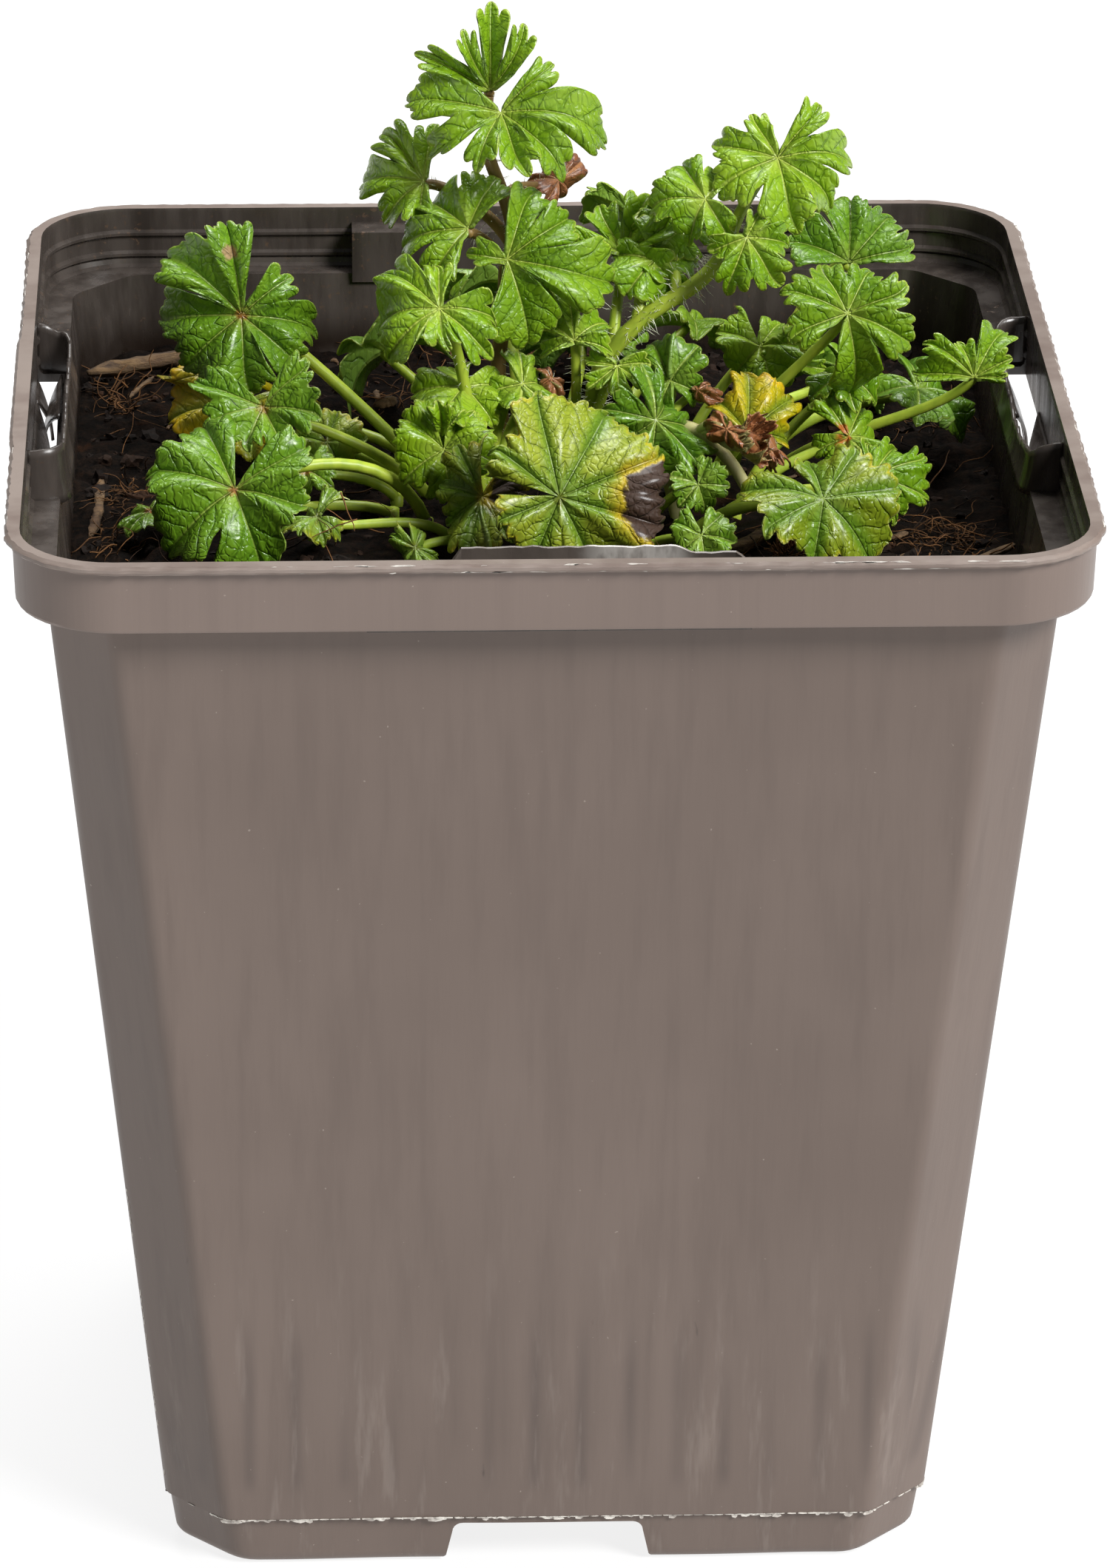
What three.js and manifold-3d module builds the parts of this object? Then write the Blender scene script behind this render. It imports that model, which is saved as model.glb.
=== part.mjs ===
// A young musk mallow in a square nursery pot, in millimetres.
// +Z is up, -Y is the side seen from the front, and the origin is the middle of the pot's footprint.
// The pot is one thin formed shell, the compost one block inside it, and the plant a set of leafy shoots
// that stand in plain holes in the compost.

import * as THREE from 'three';
import { mergeVertices } from 'three/addons/utils/BufferGeometryUtils.js';
import Module from 'manifold-3d';

const wasm = await Module();
wasm.setup();

// Pot
const RIM_WIDTH = 110;
const POT_HEIGHT = 120;
const BASE_WIDTH = 80;
const WALL = 0.9;
const LIP_OUT = 1;
const LIP_THICK = 0.9;
const BAND_HEIGHT = 7.5;
const BAND_ROUND = 10.3;
const BAND_DRAFT = 0.2;
const BODY_TOP_WIDTH = 101.4;
const BODY_CHAMFER = 6.5;
const CHAMFER_ROUND = 1.6;
const FOOT_ROUND = 1.6;
const CHANNEL_HEIGHT = 5;
const CHANNEL_HALF_FOOT = 12.2;
const CHANNEL_HALF_ROOF = 9.2;
const DRAIN_RADIUS = 3.5;
const DRAIN_REACH = 24;
const RIB_LEVELS = [114.7, 117.1];
const RIB_HALF = 0.35;
const RIB_DEEP = 0.35;

// Raised boxes on the ledge under the rim: two are punched through as label slots, two are closed
const BOX_HALF_LENGTH = 19;
const BOX_INNER = 49.4;
const BOX_WALL = 0.8;
const BOX_TOP = 118.3;

// Compost
const COMPOST_LEVEL = 104.3;
const COMPOST_ROUGH = 0.8;
const COMPOST_CELLS = 10;
const FIT_GAP = 0.3;
const HOLE_GAP = 0.45;

// Plant
const BLADE_THICK = 0.7;
const STALK_RADIUS = 0.9;
const STALK_SIDES = 4;
const STEM_SIDES = 6;
const STALK_STEPS = 4;
const SEAT = 0.4;
const TRIM = 0.04;
const ROOT_DEEP = 97;
const NECK = 1.8;

const degrees = Math.PI / 180;

// Solids

function solidOf(geometry) {
  const bare = new THREE.BufferGeometry();
  bare.setAttribute('position', geometry.getAttribute('position'));
  bare.setIndex(geometry.getIndex());
  const merged = mergeVertices(bare, 1e-4);
  return new wasm.Manifold(new wasm.Mesh({
    numProp: 3,
    vertProperties: merged.attributes.position.array,
    triVerts: new Uint32Array(merged.index.array),
  }));
}

function geometryOf(solid) {
  const mesh = solid.getMesh();
  const geometry = new THREE.BufferGeometry();
  geometry.setAttribute('position', new THREE.BufferAttribute(new Float32Array(mesh.vertProperties), 3));
  geometry.setIndex(new THREE.BufferAttribute(new Uint32Array(mesh.triVerts), 1));
  geometry.computeVertexNormals();
  return geometry;
}

function meshGeometry(points, triangles) {
  const geometry = new THREE.BufferGeometry();
  geometry.setAttribute('position', new THREE.Float32BufferAttribute(points.flatMap((p) => [p.x, p.y, p.z]), 3));
  geometry.setIndex(triangles.flat());
  return geometry;
}

// A closed solid through convex rings with equal point counts, lowest ring first.
function loft(rings) {
  const count = rings[0].length;
  const triangles = [];
  for (let level = 0; level + 1 < rings.length; level++) {
    for (let i = 0; i < count; i++) {
      const a = level * count + i;
      const b = level * count + (i + 1) % count;
      triangles.push([a, b, b + count], [a, b + count, a + count]);
    }
  }
  const top = (rings.length - 1) * count;
  for (let i = 1; i + 1 < count; i++) {
    triangles.push([0, i + 1, i], [top, top + i, top + i + 1]);
  }
  return solidOf(meshGeometry(rings.flat(), triangles));
}

function block(low, high) {
  const size = high.map((h, axis) => h - low[axis]);
  const geometry = new THREE.BoxGeometry(...size);
  geometry.translate(...low.map((l, axis) => l + size[axis] / 2));
  return solidOf(geometry);
}

function turned(solid, quarterTurns) {
  return solid.rotate([0, 0, 90 * quarterTurns]);
}

// Pot outlines

const quarters = [[1, 1], [-1, 1], [-1, -1], [1, -1]];

// A square with round corners, counter-clockwise from above.
function roundedRing(half, radius, z, steps = 5) {
  const ring = [];
  quarters.forEach(([sx, sy], quarter) => {
    for (let i = 0; i <= steps; i++) {
      const angle = (quarter + i / steps) * Math.PI / 2;
      const x = sx * (half - radius) + radius * Math.cos(angle);
      const y = sy * (half - radius) + radius * Math.sin(angle);
      ring.push(new THREE.Vector3(x, y, z));
    }
  });
  return ring;
}

// A square whose corners are cut at 45 degrees, with each edge of the cut softened by two points.
function chamferedRing(half, chamfer, z, soft = CHAMFER_ROUND) {
  const slant = soft * Math.SQRT1_2;
  const first = [
    [half, half - chamfer - soft],
    [half - slant, half - chamfer + slant],
    [half - chamfer + slant, half - slant],
    [half - chamfer - soft, half],
  ];
  const ring = [];
  for (let quarter = 0; quarter < 4; quarter++) {
    const cos = Math.round(Math.cos(quarter * Math.PI / 2));
    const sin = Math.round(Math.sin(quarter * Math.PI / 2));
    first.forEach(([x, y]) => ring.push(new THREE.Vector3(x * cos - y * sin, x * sin + y * cos, z)));
  }
  return ring;
}

const ledgeLevel = POT_HEIGHT - BAND_HEIGHT;
const bandHalf = RIM_WIDTH / 2 - LIP_OUT;

function bodyHalf(z) {
  return BASE_WIDTH / 2 + (BODY_TOP_WIDTH - BASE_WIDTH) / 2 * z / ledgeLevel;
}

// The body's solid shape, drawn in by inset on every side.
function bodyForm(inset, low, high) {
  const ring = (z, extra = 0) => chamferedRing(bodyHalf(z) - inset - extra, BODY_CHAMFER, z);
  return loft([ring(low, FOOT_ROUND), ring(low + FOOT_ROUND, 0), ring(high)]);
}

// The cross-shaped channel under the base that leaves four feet, grown by a margin.
function channelForm(grow) {
  const long = BASE_WIDTH;
  const profile = new THREE.Shape([
    new THREE.Vector2(-CHANNEL_HALF_FOOT - grow - 1, -1),
    new THREE.Vector2(CHANNEL_HALF_FOOT + grow + 1, -1),
    new THREE.Vector2(CHANNEL_HALF_ROOF + grow, CHANNEL_HEIGHT + grow),
    new THREE.Vector2(-CHANNEL_HALF_ROOF - grow, CHANNEL_HEIGHT + grow),
  ]);
  const bar = new THREE.ExtrudeGeometry(profile, { depth: 2 * long, bevelEnabled: false });
  bar.rotateX(Math.PI / 2);
  bar.translate(0, long, 0);
  const along = solidOf(bar);
  return along.add(turned(along, 1));
}

function drainHoles() {
  const hole = new THREE.CylinderGeometry(DRAIN_RADIUS, DRAIN_RADIUS, 4 * WALL, 10);
  hole.rotateX(Math.PI / 2);
  hole.translate(0, 0, CHANNEL_HEIGHT + WALL / 2);
  const centre = solidOf(hole);
  const arm = centre.translate([DRAIN_REACH, 0, 0]);
  return [0, 1, 2, 3].reduce((all, turn) => all.add(turned(arm, turn)), centre);
}

// The space inside the rim band, with two ribs that stand in from its wall.
function bandHollow() {
  const inner = bandHalf - WALL;
  const ring = (z, inset) => roundedRing(inner - inset, BAND_ROUND - WALL - inset, z);
  const rings = [ring(ledgeLevel + WALL, BAND_DRAFT)];
  RIB_LEVELS.forEach((level) => {
    rings.push(ring(level - RIB_HALF, 0), ring(level, RIB_DEEP), ring(level + RIB_HALF, 0));
  });
  rings.push(ring(POT_HEIGHT + 1, 0));
  return loft(rings);
}

// One raised box on the ledge at the +X side, open below, and open above where it is punched through.
function ledgeBox(punched) {
  const outside = bandHalf - WALL / 2;
  const shell = block([BOX_INNER, -BOX_HALF_LENGTH, ledgeLevel], [outside, BOX_HALF_LENGTH, BOX_TOP]);
  const hollow = block(
    [BOX_INNER + BOX_WALL, BOX_WALL - BOX_HALF_LENGTH, ledgeLevel - 0.3],
    [bandHalf - WALL, BOX_HALF_LENGTH - BOX_WALL, punched ? POT_HEIGHT + 1 : BOX_TOP - BOX_WALL],
  );
  return { shell, hollow };
}

function potSolid() {
  const band = loft([
    roundedRing(bandHalf - BAND_DRAFT, BAND_ROUND, ledgeLevel),
    roundedRing(bandHalf, BAND_ROUND, POT_HEIGHT - LIP_THICK / 2),
  ]);
  const lip = loft([
    roundedRing(bandHalf + LIP_OUT, BAND_ROUND + LIP_OUT, POT_HEIGHT - LIP_THICK),
    roundedRing(bandHalf + LIP_OUT, BAND_ROUND + LIP_OUT, POT_HEIGHT),
  ]);
  const inside = bodyForm(WALL, WALL, ledgeLevel + WALL + 0.1).subtract(channelForm(WALL));
  let pot = bodyForm(0, 0, ledgeLevel + WALL / 2).subtract(channelForm(0));
  pot = pot.add(band).add(lip).subtract(inside).subtract(bandHollow()).subtract(drainHoles());
  const boxes = [true, false].map(ledgeBox);
  for (let turn = 0; turn < 4; turn++) {
    const box = boxes[turn % 2];
    pot = pot.add(turned(box.shell, turn)).subtract(turned(box.hollow, turn));
  }
  return pot;
}

// Compost

function compostHeight(x, y) {
  const swell = Math.sin(x * 0.11 + 1.3) * Math.cos(y * 0.13 - 0.4);
  const lumps = Math.sin(x * 0.71 + y * 0.37) * Math.cos(y * 0.63 - x * 0.29);
  return COMPOST_LEVEL + COMPOST_ROUGH * (0.6 * swell + 0.5 * lumps);
}

// Everything above the uneven top of the compost.
function airAboveCompost() {
  const half = RIM_WIDTH / 2;
  const cell = RIM_WIDTH / COMPOST_CELLS;
  const count = COMPOST_CELLS + 1;
  const points = [];
  const triangles = [];
  for (let j = 0; j < count; j++) {
    for (let i = 0; i < count; i++) {
      const x = i * cell - half;
      const y = j * cell - half;
      points.push(new THREE.Vector3(x, y, compostHeight(x, y)));
    }
  }
  for (let j = 0; j < COMPOST_CELLS; j++) {
    for (let i = 0; i < COMPOST_CELLS; i++) {
      const a = j * count + i;
      triangles.push([a, a + count + 1, a + 1], [a, a + count, a + count + 1]);
    }
  }
  const edge = [];
  for (let i = 0; i < COMPOST_CELLS; i++) edge.push(i);
  for (let j = 0; j < COMPOST_CELLS; j++) edge.push(j * count + COMPOST_CELLS);
  for (let i = COMPOST_CELLS; i > 0; i--) edge.push(COMPOST_CELLS * count + i);
  for (let j = COMPOST_CELLS; j > 0; j--) edge.push(j * count);
  const base = points.length;
  edge.forEach((e) => points.push(new THREE.Vector3(points[e].x, points[e].y, POT_HEIGHT)));
  edge.forEach((e, i) => {
    const next = (i + 1) % edge.length;
    triangles.push([e, edge[next], base + next], [e, base + next, base + i]);
  });
  for (let i = 1; i + 1 < edge.length; i++) triangles.push([base, base + i, base + i + 1]);
  return solidOf(meshGeometry(points, triangles));
}

function rootHole([x, y], radius) {
  const hole = new THREE.CylinderGeometry(radius + HOLE_GAP, radius + HOLE_GAP, 14, 6);
  hole.rotateX(Math.PI / 2);
  hole.translate(x, y, ROOT_DEEP - FIT_GAP + 7);
  return solidOf(hole);
}

function compostSolid(shoots) {
  const inside = bodyForm(WALL + FIT_GAP, WALL + FIT_GAP, ledgeLevel - 1);
  let compost = inside.subtract(channelForm(WALL + FIT_GAP)).subtract(airAboveCompost());
  shoots.forEach(({ root, radius }) => {
    compost = compost.subtract(rootHole(root, radius));
  });
  return compost;
}

// Leaves

// lobes: how many; spread: degrees from the first lobe's edge to the last's; notch: how far out the cuts between
// lobes start; fold: how steeply each lobe rises from its rib to its edges; waist: how much a lobe narrows above
// its foot; cone: degrees that the blade rises around the heart before it droops
const FORMS = {
  round: { lobes: 7, spread: 335, notch: 0.88, fold: 0.06, waist: 0, cone: 10 },
  half: { lobes: 5, spread: 320, notch: 0.62, fold: 0.22, waist: 0.03, cone: 24 },
  cut: { lobes: 5, spread: 300, notch: 0.52, fold: 0.28, waist: 0.08, cone: 28 },
  young: { lobes: 5, spread: 250, notch: 0.36, fold: 0.4, waist: 0.12, cone: 30 },
  small: { lobes: 5, spread: 310, notch: 0.62, fold: 0.16, waist: 0, cone: 14 },
};
const LOBE_PARTS_DEEP = 0.09;
const LOBE_SHOULDER = 0.12;
const SIDE_LOBES_SHORTER = 0.14;
const LOBE_UNEVEN = 0.07;
const PITCH_UNEVEN = 14;
const WIDEST_HALF_LOBE = 36;
const WAVE = 0.05;
const EDGE_CURL = 14;
const SMALL_LEAF = 5;
const RIM_PLACES = [-1, -0.84, -0.36, 0, 0.36, 0.84, 1];
const SMALL_RIM_PLACES = [-1, -0.8, 0, 0.8, 1];

// heart: where the stalk meets the blade; size: length of the longest lobe; faces: compass turn and
// elevation of the upper side, with 0 towards -Y and 90 towards +X; roll: turn of the middle lobe from
// straight downhill; bend: degrees that the blade rises (or sinks, when negative) out to its edge;
// from: how far up the shoot the stalk leaves it, from 0 to 1; extra.fan: one row for each lobe of a leaf that
// stands out, with its angle from downhill, its length as a share of the size, its pitch, and the cut after it
function leaf(heart, size, faces, roll, form, bend = -20, from = 0, extra = {}) {
  const turn = faces[0] * degrees;
  const rise = faces[1] * degrees;
  const outward = new THREE.Vector3(Math.sin(turn), -Math.cos(turn), 0);
  const up = new THREE.Vector3(0, 0, 1);
  const normal = outward.clone().multiplyScalar(Math.cos(rise)).addScaledVector(up, Math.sin(rise));
  const downhill = outward.clone().multiplyScalar(Math.sin(rise)).addScaledVector(up, -Math.cos(rise));
  const across = normal.clone().cross(downhill);
  const along = downhill.clone().multiplyScalar(Math.cos(roll * degrees))
    .addScaledVector(across, Math.sin(roll * degrees));
  const side = normal.clone().cross(along);
  const seed = heart[0] * 1.3 + heart[1] * 0.7 + heart[2];
  const blade = { heart: new THREE.Vector3(...heart), size, normal, along, side, seed, bend, from, ...FORMS[form], ...extra };
  return { ...blade, rows: blade.fan ? fanLobes(blade) : evenLobes(blade) };
}

function uneven(seed, k) {
  return Math.sin(seed * 2.399 + k * 1.713);
}

function evenLobes({ lobes, spread, notch, seed }) {
  const half = spread * degrees / lobes / 2;
  const middle = (lobes - 1) / 2;
  const cut = (k) => notch * (1 + 0.3 * uneven(seed + 2, k));
  return Array.from({ length: lobes }, (_, k) => ({
    middle: (k - middle) * 2 * half,
    halves: [half, half],
    length: 1 - SIDE_LOBES_SHORTER * Math.abs(k - middle) / middle + LOBE_UNEVEN * uneven(seed, k),
    pitch: PITCH_UNEVEN * degrees * uneven(seed + 5, k),
    cuts: [cut(k), cut(k + 1)],
  }));
}

function fanLobes({ fan, notch }) {
  const gaps = fan.slice(1).map((row, k) => Math.min((row[0] - fan[k][0]) / 2, WIDEST_HALF_LOBE) * degrees);
  return fan.map(([angle, length, pitch, cut = notch], k) => ({
    middle: angle * degrees,
    halves: [gaps[Math.max(k - 1, 0)], gaps[Math.min(k, gaps.length - 1)]],
    length,
    pitch: pitch * degrees,
    cuts: [k ? fan[k - 1][3] ?? notch : notch, cut],
  }));
}

// One place across a lobe, where q runs from -1 to 1: its side, its neighbour, and where the cut there starts.
function lobePlace(blade, k, q) {
  const side = q < 0 ? 0 : 1;
  const next = q < 0 ? k - 1 : k + 1;
  const lobe = blade.rows[k];
  const other = blade.rows[next] ?? lobe;
  return { lobe, other, next, half: lobe.halves[side], notch: Math.min(lobe.length, other.length) * lobe.cuts[side] };
}

function lobeReach(blade, k, q) {
  const { lobe, notch } = lobePlace(blade, k, q);
  const p = Math.abs(q);
  const edge = Math.min(1, (1 - p) / 0.14);
  const parts = Math.abs(Math.sin(Math.PI * 3 * (q + 1) / 2)) ** 0.6;
  const full = lobe.length * (1 - LOBE_SHOULDER * p ** 2.4) * (1 - LOBE_PARTS_DEEP * (1 - parts));
  return blade.size * (notch + (full - notch) * edge * edge * (3 - 2 * edge));
}

// The place of a blade point at a lobe's q and a share of the reach there, in millimetres.
function bladePoint(blade, k, q, share) {
  const { lobe, other, next, half, notch } = lobePlace(blade, k, q);
  const distance = share * lobeReach(blade, k, q);
  const ease = 0.5 * Math.abs(q) ** 3;
  const pitch = lobe.pitch * (1 - ease) + other.pitch * ease;
  const droop = uneven(blade.seed + 9, k) * (1 - ease) + uneven(blade.seed + 9, next) * ease;
  const cone = blade.cone * degrees;
  const bend = blade.bend * degrees * (1.5 + droop) - 1.6 * cone;
  const curl = 5 * EDGE_CURL * degrees * Math.max(0, share - 0.55) ** 2;
  const beyond = Math.min(1, Math.max(0, (distance / blade.size - notch) / (lobe.length - notch)));
  const angle = lobe.middle + q * half * (1 - blade.waist * Math.sin(Math.PI * beyond));
  const steps = 8;
  let out = 0;
  let lift = 0;
  for (let i = 0; i < steps; i++) {
    const f = (i + 0.5) / steps;
    const slope = pitch + cone + bend * f * distance / blade.size - curl * f ** 3;
    out += Math.cos(slope) * distance / steps;
    lift += Math.sin(slope) * distance / steps;
  }
  lift += blade.fold * distance * (q * q - 0.35) * 2 * half / 0.8;
  lift += WAVE * distance * Math.sin(2 * angle + blade.seed);
  return blade.heart.clone()
    .addScaledVector(blade.along, out * Math.cos(angle))
    .addScaledVector(blade.side, out * Math.sin(angle))
    .addScaledVector(blade.normal, lift);
}

// A blade as a thin solid: heart, one point on each rib, and the toothed outline.
function bladeSolid(blade) {
  const places = blade.size > SMALL_LEAF ? RIM_PLACES : SMALL_RIM_PLACES;
  const tooths = places.length - 1;
  const lobes = blade.rows.length;
  const top = [blade.heart.clone()];
  const ribs = [];
  const rim = [];
  for (let lobe = 0; lobe < lobes; lobe++) {
    ribs.push(top.length);
    top.push(bladePoint(blade, lobe, 0, 0.55));
    places.forEach((q, k) => {
      if (k === tooths && lobe + 1 < lobes) return;
      rim.push(top.length);
      top.push(bladePoint(blade, lobe, q, 1));
    });
  }
  const faces = [];
  for (let lobe = 0; lobe < lobes; lobe++) {
    const first = lobe * tooths;
    faces.push([0, rim[first], ribs[lobe]], [0, ribs[lobe], rim[first + tooths]]);
    for (let k = 0; k < tooths; k++) faces.push([ribs[lobe], rim[first + k], rim[first + k + 1]]);
  }
  const normals = top.map(() => new THREE.Vector3());
  faces.forEach(([a, b, c]) => {
    const cross = top[b].clone().sub(top[a]).cross(top[c].clone().sub(top[a]));
    [a, b, c].forEach((v) => normals[v].add(cross));
  });
  const under = top.map((p, i) => p.clone().addScaledVector(normals[i].normalize(), -BLADE_THICK));
  const count = top.length;
  const triangles = faces.flatMap(([a, b, c]) => [[a, b, c], [a + count, c + count, b + count]]);
  const loop = [0, ...rim];
  loop.forEach((a, i) => {
    const b = loop[(i + 1) % loop.length];
    triangles.push([a, a + count, b + count], [a, b + count, b]);
  });
  return solidOf(meshGeometry([...top, ...under], triangles));
}

function tube(curve, radius, steps, sides) {
  const section = new THREE.Shape();
  for (let i = 0; i < sides; i++) {
    const angle = 2 * Math.PI * i / sides;
    const [x, y] = [radius * Math.cos(angle), radius * Math.sin(angle)];
    if (i) section.lineTo(x, y); else section.moveTo(x, y);
  }
  return solidOf(new THREE.ExtrudeGeometry(section, { steps, extrudePath: curve }));
}

function stalkCurve(start, blade) {
  const end = blade.heart.clone().addScaledVector(blade.normal, -0.8 * BLADE_THICK)
    .addScaledVector(blade.along, SEAT);
  const span = end.distanceTo(start);
  const lift = Math.min(0.25 * span, 2 + 0.4 * Math.max(0, end.z - start.z));
  const leave = end.clone().sub(start).multiplyScalar(0.2).add(new THREE.Vector3(0, 0, lift));
  const arrive = blade.along.clone().multiplyScalar(0.5).addScaledVector(blade.normal, 0.55);
  const bendPoint = end.clone().addScaledVector(arrive, -0.35 * span);
  return new THREE.CubicBezierCurve3(start, start.clone().add(leave), bendPoint, end);
}

// Shoots

const GREEN = 0x3f8f2a;
const LIME = 0x7cb832;
const DARK = 0x2c6b28;
const YELLOW = 0xd6c21c;
const OLIVE = 0x8f9a2c;
const BROWN = 0x6e4a30;

// A shoot: a stem that stands in the compost, and the leaves that it bears.
function shoot(name, color, points, leaves, radius = STALK_RADIUS) {
  const [x, y] = points[0];
  const path = [[x, y, ROOT_DEEP], [x, y, COMPOST_LEVEL + NECK], ...points.slice(1)]
    .map((p) => new THREE.Vector3(...p));
  return { name, color, root: [x, y], path, leaves, radius };
}

function shootSolid({ path, leaves, radius }) {
  const base = new THREE.LineCurve3(path[0], path[1]);
  const sides = path.length > 2 ? STEM_SIDES : STALK_SIDES;
  let solid = tube(base, radius, 1, sides);
  let climb = null;
  if (path.length > 2) {
    climb = new THREE.CatmullRomCurve3(path.slice(1).map((p, i) => (i ? p : p.clone().setZ(p.z - 1))));
    solid = solid.add(tube(climb, radius * 0.96, 3 * (path.length - 2), sides));
  }
  leaves.forEach((blade) => {
    const start = climb ? climb.getPointAt(blade.from) : path[1].clone().setZ(path[1].z - 0.6);
    solid = solid.add(tube(stalkCurve(start, blade), radius * 0.9, STALK_STEPS, STALK_SIDES)).add(bladeSolid(blade));
  });
  return solid.simplify(TRIM);
}

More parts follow.
